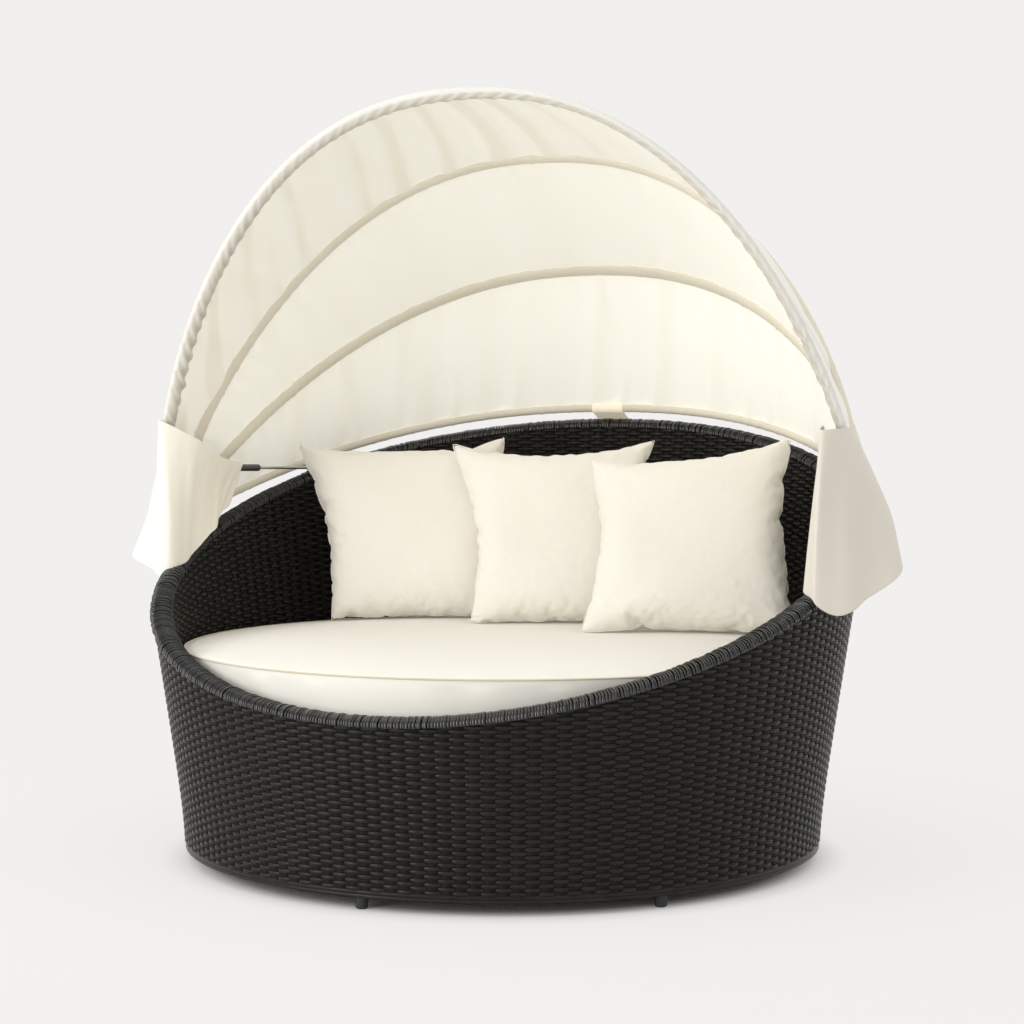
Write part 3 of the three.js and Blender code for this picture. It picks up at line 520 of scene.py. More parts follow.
def rowsTree():
    # horizontal strands that pass over and under the stakes, cut where the rim passes
    tree, graph, given = nodeTree("wallRows", rowSizes)
    knots = given["Stakes"] * given["Steps"]
    ring = graph.add("GeometryNodeMeshCircle", {}, {"Vertices": knots, "Radius": 1.0})
    stack = graph.add("GeometryNodeMeshLine", {}, {"Count": given["Rows"], "Offset": (0, 0, 1)})
    rings = graph.add("GeometryNodeInstanceOnPoints", {}, {"Points": stack, "Instance": ring})
    flat = graph.add("GeometryNodeRealizeInstances", {}, [rings])
    x, y, z = placeOf(graph)
    theta = x.maths("ARCTAN2", y * -1)  # 0 at the front, growing to the right
    row = z.maths("ROUND") + given["First Row"]
    wander = graph.add("ShaderNodeTexNoise", {"noise_dimensions": "2D"}, {
        "Vector": vector(graph, theta * 6.0, row * 7.3, 0.0), "Scale": 1.0, "Detail": 2.0,
    })
    height = given["First Height"] + row * given["Row Pitch"] + (wander - 0.5) * given["Jitter"]
    bulge = wovenWave(given, theta, row) * given["Bulge"]
    radius = wallRadius(given, height) - given["Depth"] + bulge
    placed = moved(graph, flat, around(graph, radius, theta, height))
    px, py, pz = placeOf(graph)
    angle = px.maths("ARCTAN2", py * -1)
    above = pz.maths("GREATER_THAN", rimHeight(given, angle) - given["Rim Drop"])
    kept = graph.add("GeometryNodeDeleteGeometry", {"domain": "POINT"}, {
        "Geometry": placed, "Selection": above,
    })
    closeTree(graph, given, kept, vector(graph, px, py, 0.0))
    return tree


def lineRow(graph, given):
    # upright lines of unit height side by side; x is a line's number, z the share along it
    step = vector(graph, 0.0, 0.0, 1 / (given["Points"] - 1))
    upright = graph.add("GeometryNodeMeshLine", {}, {"Count": given["Points"], "Offset": step})
    row = graph.add("GeometryNodeMeshLine", {}, {"Count": given["Stakes"], "Offset": (1, 0, 0)})
    copies = graph.add("GeometryNodeInstanceOnPoints", {}, {"Points": row, "Instance": upright})
    lines = graph.add("GeometryNodeRealizeInstances", {}, [copies])
    x, _, z = placeOf(graph)
    return x, z, lines


def stakesTree():
    # upright flat stakes between the strands
    tree, graph, given = nodeTree("wallStakes", stakeSizes)
    x, z, lines = lineRow(graph, given)
    theta = x * (2 * math.pi) / given["Stakes"]
    top = rimHeight(given, theta) - given["Rim Drop"]
    height = given["Bottom"] + z * (top - given["Bottom"])
    radius = wallRadius(given, height) - given["Depth"]
    placed = moved(graph, lines, around(graph, radius, theta, height))
    px, py, _ = placeOf(graph)
    closeTree(graph, given, placed, vector(graph, px, py, 0.0))
    return tree


def randomOf(graph, number):
    return graph.add("ShaderNodeTexWhiteNoise", {"noise_dimensions": "1D"}, {"W": number}, "Value")


def rimTree():
    # strands wound side by side over the rounded rim, each a little out of line
    tree, graph, given = nodeTree("rimWinding", rimSizes)
    x, z, lines = lineRow(graph, given)
    number = x.maths("ROUND")
    theta = number * (2 * math.pi) / given["Stakes"]
    turn = given["Start Turn"] + (given["End Turn"] - given["Start Turn"]) * z
    grow = 1 + (randomOf(graph, number) - 0.5) * given["Jitter"] / given["Half Width"] * 2
    lean = randomOf(graph, number + 0.5) - 0.5
    theta = theta + lean * turn.maths("COSINE") * given["Jitter"] * 2
    out = given["Half Width"] * grow * turn.maths("COSINE")
    lift = given["Roll Height"] * grow * turn.maths("SINE")
    top = rimHeight(given, theta)
    radius = wallRadius(given, top) - given["Depth"] + out
    store = graph.add("GeometryNodeStoreNamedAttribute", {"data_type": "FLOAT_VECTOR", "domain": "POINT"}, {
        "Geometry": lines, "Name": "rollNormal",
        "Value": around(graph, turn.maths("COSINE"), theta, turn.maths("SINE")),
    })
    placed = moved(graph, store, around(graph, radius, theta, top - given["Roll Height"] + lift))
    normal = graph.add("GeometryNodeInputNamedAttribute", {"data_type": "FLOAT_VECTOR"}, {
        "Name": "rollNormal",
    })
    closeTree(graph, given, placed, normal)
    return tree


def makeWicker():
    trees = {
        "rows": (rowsTree(), rowSizes, strandEspresso),
        "stakes": (stakesTree(), stakeSizes, stakeEspresso),
        "rim": (rimTree(), rimSizes, rimEspresso),
    }
    for spec in wicker:
        tree, sizes, material = trees[spec["tree"]]
        piece = runTree(spec["name"], tree, {**sizes, **spec["sizes"], "Material": material})
        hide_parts(spec["node"])
        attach(piece, "base")
        print(piece.name, len(piece.data.polygons), "faces")


makeWicker()
print("wicker woven")


# Canopy: three gores of cloth between four bows, each bow in a sewn sleeve
canopy = {
    "pivotY": -0.057, "pivotZ": 0.744, "spanPower": 2.235, "reachPower": 1.652,
    "holdStart": 0.05, "holdEnd": 0.38, "startReach": 0.125, "sag": 0.014, "thickness": 0.0016,
    "rows": 520, "columns": 40,
}
bows = {
    "front": {"halfSpan": 0.91989, "reach": 1.105, "angle": math.radians(101.2), "legSpan": 0.91909},
    "second": {"halfSpan": 0.91389, "reach": 1.04975, "angle": math.radians(70.5), "legSpan": 0.89859},
    "third": {"halfSpan": 0.91389, "reach": 1.05528, "angle": math.radians(43.6), "legSpan": 0.93959},
    "rear": {"halfSpan": 0.94989, "reach": 0.98391, "angle": math.radians(20.81), "legSpan": 0.96009},
}
gores = [
    {"name": "canopyRearGore", "node": "rear_canopy_panel", "bows": ("rear", "third"),
     "bodies": ("base", "third_bow"), "flat": (0.45, 2.75), "area": 0.78, "seed": 11,
     "fold": (0.0026, 0.0018), "shading": 0.28, "kind": "gathered", "material": canopyIvory},
    {"name": "canopyMiddleGore", "node": "middle_canopy_panel", "bows": ("third", "second"),
     "bodies": ("third_bow", "second_bow"), "flat": (0.5, 2.85), "area": 0.94, "seed": 23,
     "fold": (0.0016, 0.0022), "shading": 0.15, "kind": "gathered", "material": canopyIvory},
    {"name": "canopyFrontGore", "node": "front_canopy_panel", "bows": ("second", "front"),
     "bodies": ("second_bow", "front_bow"), "flat": (0.58, 2.95), "area": 1.12, "seed": 37,
     "fold": (0.0018, 0.0042), "shading": 0.48, "kind": "hanging", "material": canopyShaded},
]
# Folds: waves as shortest and longest, and runs as how far folds reach from the low and the high bow
folding = {
    "edge": 0.02, "fine": (0.035, 0.1), "fineBend": 0.02, "fineRuns": (0.05, 0.085), "lowRun": 0.2,
    "tight": (0.014, 0.035), "tightSlant": 0.03, "tightShare": 0.2, "tightRun": 0.06,
    "sweep": (0.25, 0.6), "sweepCount": 8, "sweepSlant": 2.2, "sweepHeight": 0.0012, "sweepShading": 0.12,
    "gathered": {"broad": (0.07, 0.2), "slant": 0.06, "share": 0.55, "run": 0.24},
    "hanging": {"broad": (0.04, 0.12), "slant": 0.0, "share": 0.9, "run": 0.54, "level": 0.35, "turn": 0.35},
}
hinge = np.array([0, canopy["pivotY"], canopy["pivotZ"]])


def bowCurve(bow, turn):
    reach = bow["reach"] * np.sin(turn) ** (2 / canopy["reachPower"])
    half = bow["halfSpan"] * np.abs(np.cos(turn)) ** (2 / canopy["spanPower"])
    hold = 1 - smoothStep(reach, canopy["holdStart"], canopy["holdEnd"])
    return np.sign(np.cos(turn)) * (half + hold * (bow["legSpan"] - bow["halfSpan"])), reach


def canopyPlace(span, reach, angle):
    back, up = reach * np.cos(angle), reach * np.sin(angle)
    return np.stack([span, canopy["pivotY"] + back, canopy["pivotZ"] + up], -1)


def firstTurn(bow):
    # the turn at which the cloth starts, a little way up from the hinge
    return math.asin((canopy["startReach"] / bow["reach"]) ** (canopy["reachPower"] / 2))


def evenTurns(bow, start, count):
    # turns spaced evenly by length along a bow, and that length
    turn = np.linspace(start, math.pi - start, 4000)
    span, reach = bowCurve(bow, turn)
    steps = np.hypot(np.diff(span), np.diff(reach))
    length = np.concatenate([[0], np.cumsum(steps)])
    even = np.linspace(0, length[-1], count)
    return np.interp(even, length, turn), even


def hangingRun(points):
    # a measure across the front, the same all the way down a vertical fold
    kind, span = folding["hanging"], points[..., 0]
    turned = points[..., 1] * math.sin(kind["level"]) * np.tanh(-span / kind["turn"])
    return span * math.cos(kind["level"]) + turned


def goreFolds(spec, points, length, share, reach, toHigh, toLow):
    # fine and tight folds at the bows, broad ones further in, and sweeps over the whole gore
    kind, seed = folding[spec["kind"]], spec["seed"]
    along = hangingRun(points) if spec["kind"] == "hanging" else length
    fine = wavesAlong(along + folding["fineBend"] * np.sin(5 * share), seed, *folding["fine"])
    broad = wavesAlong(along + kind["slant"] * share, seed + 1, *kind["broad"])
    sweepRun = points[..., 0] + folding["sweepSlant"] * reach
    sweeps = wavesAlong(sweepRun, seed + 2, *folding["sweep"], folding["sweepCount"])
    tight = wavesAlong(length - folding["tightSlant"] * share, seed + 3, *folding["tight"])
    (lowFold, highFold), (lowRun, highRun) = spec["fold"], folding["fineRuns"]
    fold = (highFold * np.exp(-toHigh / highRun) + lowFold * np.exp(-toLow / lowRun)) * fine
    height = highFold * np.exp(-toHigh / kind["run"]) + lowFold * np.exp(-toLow / folding["lowRun"])
    fold = fold + kind["share"] * height * broad
    fold = fold + folding["tightShare"] * highFold * np.exp(-toHigh / folding["tightRun"]) * tight
    return fold, sweeps


def makeGore(spec):
    lower, upper = (bows[key] for key in spec["bows"])
    turn, length = evenTurns(upper, firstTurn(lower), canopy["rows"])
    turn, length = turn[:, None], length[:, None]
    share = np.linspace(0, 1, canopy["columns"] + 1)[None, :]
    (lowSpan, lowReach), (highSpan, highReach) = bowCurve(lower, turn), bowCurve(upper, turn)
    slack = canopy["sag"] * 4 * share * (1 - share) * np.sin(turn)
    span = lowSpan + (highSpan - lowSpan) * share
    reach = lowReach + (highReach - lowReach) * share - slack
    opening = upper["angle"] - lower["angle"]
    points = canopyPlace(span, reach, np.broadcast_to(lower["angle"] + opening * share, span.shape))
    toHigh, toLow = (1 - share) * reach * opening, share * reach * opening
    fold, sweeps = goreFolds(spec, points, length, share, reach, toHigh, toLow)
    edge = smoothStep(toHigh, 0, folding["edge"]) * smoothStep(toLow, 0, folding["edge"])
    points = points + gridNormals(points) * ((fold + folding["sweepHeight"] * sweeps) * edge)[..., None]
    piece = clothSheet(spec["name"], points, canopy["thickness"], spec["material"])
    # painted shade: the hollows of the folds and the troughs of the sweeps are stored for the material to
    # darken the cloth there
    shaded = spec["shading"] * smoothStep(-fold / max(spec["fold"]), -0.1, 0.8)
    shaded = np.clip(shaded + folding["sweepShading"] * smoothStep(-sweeps, 0, 1), 0, 1)
    storeValues(piece, "creaseDepth", np.tile(shaded.ravel(), 2))
    # the inner side is marked for the painted glow of light through the cloth
    outwards = (gridNormals(points) * (points - hinge)).sum() > 0
    storeValues(piece, "innerSide", np.repeat([0.0, 1.0] if outwards else [1.0, 0.0], shaded.size))
    printArea(spec["name"], points)
    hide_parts(spec["node"])
    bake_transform(piece)


# Sleeves: section half sizes along the cloth and through it, and how much they are ruched
sleeves = [
    {"name": "frontSleeve", "bow": "front", "body": "front_bow", "half": (0.0118, 0.0116), "seed": 51,
     "ruche": 0.0011, "sides": 0.0008, "twist": 0.07, "slack": 0.0046, "material": sleeveWhite},
    {"name": "secondSleeve", "bow": "second", "body": "second_bow", "half": (0.0165, 0.0108), "seed": 62,
     "ruche": 0.0005, "sides": 0.0003, "twist": 0.02, "slack": 0.0, "material": sleeveBeige},
    {"name": "thirdSleeve", "bow": "third", "body": "third_bow", "half": (0.018, 0.0108), "seed": 73,
     "ruche": 0.0005, "sides": 0.0003, "twist": 0.02, "slack": 0.0, "material": sleeveBeige},
    {"name": "rearSleeve", "bow": "rear", "body": "base", "half": (0.0112, 0.0108), "seed": 84,
     "ruche": 0.0005, "sides": 0.0002, "twist": 0.015, "slack": 0.0, "material": sleeveBeige},
]
ruching = {
    "rows": 900, "around": 20, "waves": (0.018, 0.045), "legTurns": (0.55, 0.95), "looseReach": (0.22, 0.3),
    "looseSpan": (-0.3, 0.3), "outerShare": 0.3, "shade": 0.72, "shadeSwing": 0.32, "shadeFrom": (0.3, 0.56),
}


def makeSleeve(spec):
    bow = bows[spec["bow"]]
    turn, length = evenTurns(bow, firstTurn(bow), ruching["rows"])
    span, reach = bowCurve(bow, turn)
    axis = canopyPlace(span, reach, bow["angle"])
    fan = np.array([0, -math.sin(bow["angle"]), math.cos(bow["angle"])])
    normal = np.cross(unit(np.gradient(axis, axis=0)), fan)
    phi = np.linspace(0, 2 * np.pi, ruching["around"], endpoint=False)[None, :]
    legs = smoothStep(np.abs(turn - math.pi / 2), *ruching["legTurns"])[:, None]
    shift = length[:, None] + spec["twist"] * np.abs(phi - np.pi) / np.pi
    height = spec["ruche"] + spec["sides"] * legs
    ruche = height * wavesAlong(shift, spec["seed"], *ruching["waves"])
    # with slack, the left half is looser, on its inner side
    loose = smoothStep(reach, *ruching["looseReach"]) * smoothStep(-span, *ruching["looseSpan"])
    slack = spec["slack"] * loose[:, None]
    a, b = (half + slack for half in spec["half"])
    outwards = np.sign((normal * (axis - hinge)).sum(axis=1))[:, None]
    inner = 0.5 - 0.5 * np.sin(phi) * outwards
    bump = (np.abs(ruche) + ruche) * (ruching["outerShare"] + (1 - ruching["outerShare"]) * inner)
    outline = fan * (a * np.cos(phi))[..., None] + normal[:, None] * (b * np.sin(phi))[..., None]
    size = np.linalg.norm(outline, axis=2, keepdims=True)
    points = (axis - normal * outwards * slack)[:, None] + outline * (1 + bump[..., None] / size)
    piece = loft(spec["name"], points, spec["material"])
    # the inner half of the sleeve is painted darker, with painted shade deepening in the hollows of the
    # ruching
    deep = ruching["shade"] - ruching["shadeSwing"] * ruche / height
    storeValues(piece, "creaseDepth", np.clip(smoothStep(inner, *ruching["shadeFrom"]) * deep, 0, 1))
    return piece


def loft(name, points, material):
    # a closed tube through rings of points, with a cap at each end
    rows, around = points.shape[:2]
    vertices = points.reshape(-1, 3)
    caps = [tuple(range(around)), tuple(range((rows - 1) * around, rows * around))]
    faces = caps + gridFaces(rows, around, joinColumns=True)
    return faceOutwards(meshObject(name, vertices, faces, material))


def makeCanopy():
    for spec in gores:
        makeGore(spec)
    for spec in sleeves:
        piece = makeSleeve(spec)
        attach(piece, spec["body"])


makeCanopy()
print("canopy hung")


# Side flaps: columns of top, middle and bottom, as shares of outward, forward and upward reach
flaps = {
    "plate": 0.88689, "reach": (0.1, 0.21, 0.3), "fold": 0.009, "foldCount": 3, "thickness": 0.0018,
    "rows": 110, "columns": 230, "dense": 900, "foldStart": (0.16, 0.36), "run": 0.62, "slant": 0.05,
    "creaseWaves": (0.035, 0.09), "creaseFrom": (0.02, 0.35),
    "smallWaves": (0.02, 0.05), "smallSlant": 0.07, "smallShare": 0.15, "smallUntil": (0.1, 0.8),
    "right": [
        [[0.05, -0.75, 0.7], [0.7, -0.4, 0.31], [1.07, -0.12, -0.06]],
        [[0.02, -0.2, 0.88], [0.66, -0.1, 0.37], [1.06, 0.1, -0.13]],
        [[-0.025, 0.2, 1.0], [0.34, 0.2, 0.45], [0.5, 0.42, -0.28]],
        [[-0.14, 0.5, 1.0], [-0.077, 0.6, 0.403], [-0.021, 0.8, -0.399]],
        [[-0.46, 0.68, 0.99], [-0.482, 0.86, 0.378], [-0.53, 0.98, -0.289]],
        [[-0.62, 0.3, 1.02], [-0.742, 0.4, 0.402], [-0.824, 0.6, -0.222]],
        [[-0.86, -0.3, 1.0], [-0.86, -0.3, 0.46], [-0.84, -0.1, 0.08]],
        [[-1.16, -0.95, 0.92], [-1.14, -0.95, 0.66], [-1.08, -0.78, 0.34]],
    ],
    "left": [
        [[0.2, -0.75, 0.64], [0.75, -0.4, 0.29], [1.06, -0.12, -0.06]],
        [[0.06, -0.2, 0.84], [0.66, -0.1, 0.36], [1.05, 0.1, -0.11]],
        [[-0.042, 0.2, 1.05], [0.3, 0.2, 0.45], [0.36, 0.28, -0.2]],
        [[-0.1, 0.42, 1.05], [-0.138, 0.42, 0.424], [-0.103, 0.4, -0.264]],
        [[-0.26, 0.48, 1.05], [-0.458, 0.5, 0.385], [-0.459, 0.46, -0.199]],
        [[-0.983, 0.2, 0.897], [-0.813, 0.26, 0.381], [-0.725, 0.24, -0.138]],
        [[-1.062, -0.3, 0.747], [-0.884, -0.3, 0.436], [-0.928, -0.15, 0.096]],
        [[-1.034, -0.95, 0.678], [-0.908, -0.9, 0.511], [-0.799, -0.78, 0.302]],
    ],
    "crease": {"right": (0.002, 91), "left": (0.0016, 97)},
    "shades": {"right": flapShaded, "left": flapIvory},
    "flat": {"right": (0.72, 0.42), "left": (0.68, 0.34)},
    "area": {"right": 0.221, "left": 0.157},
}


def makeFlap(side, name, key):
    out, fore, up = flaps["reach"]
    shares = np.array(flaps[key])
    corners = np.stack([
        side * (flaps["plate"] + shares[..., 0] * out),
        canopy["pivotY"] - shares[..., 1] * fore,
        canopy["pivotZ"] + shares[..., 2] * up,
    ], -1)
    rows, columns = flaps["rows"], flaps["columns"]
    drops = np.stack([curveThrough(column, rows) for column in corners], 1)
    down = np.linspace(0, 1, rows)[:, None]
    share = np.linspace(0, 1, columns)[None, :]
    level = []
    for row in drops:
        dense = curveThrough(row, flaps["dense"])
        length = np.concatenate([[0], np.cumsum(np.linalg.norm(np.diff(dense, axis=0), axis=1))])
        even = np.linspace(0, length[-1], columns)
        level.append(np.stack([np.interp(even, length, dense[:, k]) for k in range(3)], -1))
    points = np.array(level)
    tangent = unit(np.gradient(points, axis=1))
    aside = np.stack([tangent[..., 1], -tangent[..., 0], np.zeros_like(tangent[..., 0])], -1)
    wide = flaps["fold"] * down * np.sin(2 * np.pi * flaps["foldCount"] * share)
    wide = wide * smoothStep(share, *flaps["foldStart"])
    amount, seed = flaps["crease"][key]
    run = share * flaps["run"] + flaps["slant"] * down
    crease = wavesAlong(run, seed, *flaps["creaseWaves"]) * amount * smoothStep(down, *flaps["creaseFrom"])
    small = wavesAlong(run + flaps["smallSlant"] * down, seed + 1, *flaps["smallWaves"])
    small = small * amount * flaps["smallShare"] * (1 - smoothStep(down, *flaps["smallUntil"]))
    points = points + aside * (wide + crease + small)[..., None]
    printArea(name, points)
    return clothSheet(name, points, flaps["thickness"], flaps["shades"][key])


def makeFlaps():
    for side, key in ((-1, "left"), (1, "right")):
        piece = makeFlap(side, f"sideFlap{key.title()}", key)
        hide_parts(f"side_flap_{key}")
        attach(piece, "base")
        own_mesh(piece)


makeFlaps()
print("side flaps hung")


# Padded pieces
def applyModifiers(piece):
    mesh = evaluatedMesh(piece)
    piece.modifiers.clear()
    piece.data = mesh


def tubeAlong(name, path, radius, material, sides=8):
    # a closed cord round a closed path
    tangent = unit(np.roll(path, -1, 0) - np.roll(path, 1, 0))
    outward = path - path.mean(axis=0)
    outward = unit(outward - (outward * tangent).sum(1, keepdims=True) * tangent)
    other = np.cross(tangent, outward)
    phi = np.linspace(0, 2 * np.pi, sides, endpoint=False)[None, :, None]
    rings = path[:, None] + radius * (np.cos(phi) * outward[:, None] + np.sin(phi) * other[:, None])
    faces = gridFaces(len(path), sides, joinRows=True, joinColumns=True)
    return faceOutwards(meshObject(name, rings.reshape(-1, 3), faces, material))


# Pillows: two square covers sewn at their edge are blown up as cloth, then set down on the cushion
pillow = {
    "size": 0.563, "start": 0.03, "thickness": 0.164, "cells": 60, "rest": 0.5306, "seam": 0.0012,
    "cushionRadius": 0.77826, "pressure": 6.0, "frames": 10, "quality": 6, "mass": 0.2, "stiffness": 15,
    "bending": 0.5, "jitter": 0.0008, "plainPinch": 0.16, "settleWidth": 0.05, "settleHeight": 0.3,
    "crease": 0.0045, "creaseWaves": (0.028, 0.09), "creaseSlant": 0.15, "creaseRun": 0.16,
    "soft": 0.004, "softWaves": (0.6, 1.4), "softCount": 6,
    "places": [
        {"key": "left", "place": (-0.54, 0.54), "turn": (23.5, 21, 2.3), "seed": 5,
         "corners": [(0.04, 0.0), (-0.012, 0.0), (0.02, -0.043), (-0.043, -0.034)]},
        {"key": "middle", "place": (-0.015, 0.55), "turn": (17, 23, 2.7), "seed": 6,
         "corners": [(0.034, 0.0), (-0.012, 0.0), (0.007, -0.034), (0.001, -0.022)]},
        {"key": "right", "place": (0.496, 0.386), "turn": (11, 26, 3), "seed": 7,
         "corners": [(-0.007, 0.0), (0.022, 0.0), (0.01, -0.024), (0.018, -0.066)]},
    ],
}


def pillowGrid():
    count = pillow["cells"]
    u, v = np.meshgrid(np.linspace(-1, 1, count + 1), np.linspace(-1, 1, count + 1), indexing="ij")
    border = np.zeros(u.shape, bool)
    border[[0, -1], :] = border[:, [0, -1]] = True
    number = np.arange(u.size).reshape(u.shape)
    back = number.copy()
    back[~border] = np.arange((~border).sum()) + u.size
    faces = []
    for i in range(count):
        for j in range(count):
            faces.append((number[i, j], number[i + 1, j], number[i + 1, j + 1], number[i, j + 1]))
            faces.append((back[i, j], back[i, j + 1], back[i + 1, j + 1], back[i + 1, j]))
    ring = [number[i, 0] for i in range(count)] + [number[count, j] for j in range(count)]
    ring += [number[i, count] for i in range(count, 0, -1)] + [number[0, j] for j in range(count, 0, -1)]
    us, vs = (np.concatenate([grid.ravel(), grid[~border]]) for grid in (u, v))
    side = np.concatenate([np.where(border.ravel(), 0, -1), np.ones((~border).sum())])
    return us, vs, side, faces, ring


def blownPillow(us, vs, side, faces, seed):
    half = pillow["size"] / 2
    swell = np.sqrt(np.clip(1 - us * us, 0, 1) * np.clip(1 - vs * vs, 0, 1))
    jitter = np.random.default_rng(seed).normal(0, pillow["jitter"], len(us))
    points = np.stack([half * us, side * swell * pillow["start"] / 2 + jitter, half * vs], -1)
    piece = meshObject("pillowCover", points, faces, pillowIvory)
    cloth = piece.modifiers.new("cloth", "CLOTH")
    settings = cloth.settings
    settings.use_pressure, settings.uniform_pressure_force = True, pillow["pressure"]
    settings.quality, settings.mass = pillow["quality"], pillow["mass"]
    settings.bending_stiffness = pillow["bending"]
    settings.tension_stiffness = settings.compression_stiffness = pillow["stiffness"]
    settings.shear_stiffness = pillow["stiffness"] / 3
    settings.effector_weights.gravity = 0
    cloth.point_cache.frame_start, cloth.point_cache.frame_end = 1, pillow["frames"]
    scene = bpy.context.scene
    for frameNumber in range(1, pillow["frames"] + 1):
        scene.frame_set(frameNumber)
    applyModifiers(piece)
    scene.frame_set(1)
    points = np.array([v.co for v in piece.data.vertices])
    bpy.data.objects.remove(piece)
    points[:, 1] *= pillow["thickness"] / np.ptp(points[:, 1])
    return points


def makePillow(spec):
    us, vs, side, faces, ring = pillowGrid()
    points = blownPillow(us, vs, side, faces, spec["seed"])
    # corner shifts run bottom left, bottom right, top right, top left
    ways = [(-1, -1), (1, -1), (1, 1), (-1, 1)]
    weights = np.stack([(1 + across * us) * (1 + up * vs) for across, up in ways], -1) / 4
    points[:, [0, 2]] += weights @ np.array(spec["corners"])
    # creases run in from the seam
    edge = np.minimum(1 - np.abs(us), 1 - np.abs(vs))
    along = np.where(np.abs(us) > np.abs(vs), vs, us) * pillow["size"] / 2
    run = wavesAlong(along + pillow["creaseSlant"] * edge, spec["seed"], *pillow["creaseWaves"])
    fade = np.exp(-edge / pillow["creaseRun"]) * smoothStep(edge, 0.0, 0.06)
    points[:, 1] += run * side * pillow["crease"] * fade
    soft = wavesAlong(0.5 * us + 0.7 * vs, spec["seed"] + 3, *pillow["softWaves"], pillow["softCount"])
    points[:, 1] += soft * side * pillow["soft"] * smoothStep(edge, 0.1, 0.6)
    yaw, lean, roll = (math.radians(angle) for angle in spec["turn"])
    turn = Matrix.Rotation(yaw, 3, "Z") @ Matrix.Rotation(-lean, 3, "X") @ Matrix.Rotation(-roll, 3, "Y")
    points = points @ np.array(turn).T
    # the lower edge settles on the cushion all along
    centre = np.array([share * pillow["cushionRadius"] for share in spec["place"]])
    low = np.array([points[np.abs(us - u) < pillow["settleWidth"], 2].min() for u in us])
    points[:, 2] -= (low - points[:, 2].min()) * (1 - smoothStep(vs, -1, pillow["settleHeight"]))
    points += [centre[0], centre[1], pillow["rest"] - points[:, 2].min()]
    place = spec["key"].title()
    piece = faceOutwards(meshObject(f"pillow{place}", points, faces, pillowIvory))
    seam = tubeAlong(f"pillowSeam{place}", points[ring], pillow["seam"], pillowIvory)
    subdivide(piece)
    return piece, seam


def subdivide(piece):
    piece.modifiers.new("round", "SUBSURF").levels = 1
    applyModifiers(piece)


def makePillows():
    for spec in pillow["places"]:
        piece, seam = makePillow(spec)
        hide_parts(f"pillow_{spec['key']}")
        for each in (piece, seam):
            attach(each, f"pillow_{spec['key']}")


makePillows()
print("pillows placed")


# Seat cushion: one thick round pad with a corded seam round its top edge
seat = {
    "bottom": 0.3624, "bottomRadius": 0.757, "edgeHeight": 0.511, "radius": 0.7796, "crown": 0.019,
    "flat": 0.5, "draw": 0.006, "around": 260, "cord": 0.0021,
    "sideSteps": 26, "crownSteps": 34, "baseSteps": 10,
    "sideRadii": (0.6, 0.75), "sideLow": (0.37, 0.4), "sideHigh": (0.485, 0.5),
    "edgeBand": (0.735, 0.03), "edgeLow": (0.499, 0.505),
    "wrinkles": (0.06, 0.22), "fineWrinkles": (0.02, 0.05),
    "seed": 140, "join": 0.2, "sideDepths": (0.0022, 0.0005), "edgeDepths": (0.0016, 0.0012),
}


def seatProfile():
    bottom, edge, radius = seat["bottom"], seat["edgeHeight"], seat["radius"]
    middle = ((seat["bottomRadius"] + radius) / 2 - seat["draw"], (bottom + edge) / 2)
    side = curveThrough([
        (seat["bottomRadius"] - 0.01, bottom + 0.0005), (seat["bottomRadius"], bottom + 0.012), middle,
        (radius - 0.004, edge - 0.014), (radius - 0.001, edge - 0.001),
    ], seat["sideSteps"], even=True)
    t = np.linspace(0, 1, seat["crownSteps"])[1:]
    crownRadius = radius - 0.001 - t * (radius - 0.001)
    depth = np.clip((radius - crownRadius) / (radius - seat["flat"]), 0, 1)
    crown = np.stack([crownRadius, edge + seat["crown"] * np.sin(depth * np.pi / 2) ** 0.9], -1)
    steps = seat["baseSteps"]
    base = np.stack([np.linspace(0.02, seat["bottomRadius"] - 0.02, steps), np.full(steps, bottom)], -1)
    return np.concatenate([base, side, crown[:-1]])


def levelRing(radius, height, theta):
    return np.stack([radius * np.sin(theta), -radius * np.cos(theta), np.full_like(theta, height)], -1)


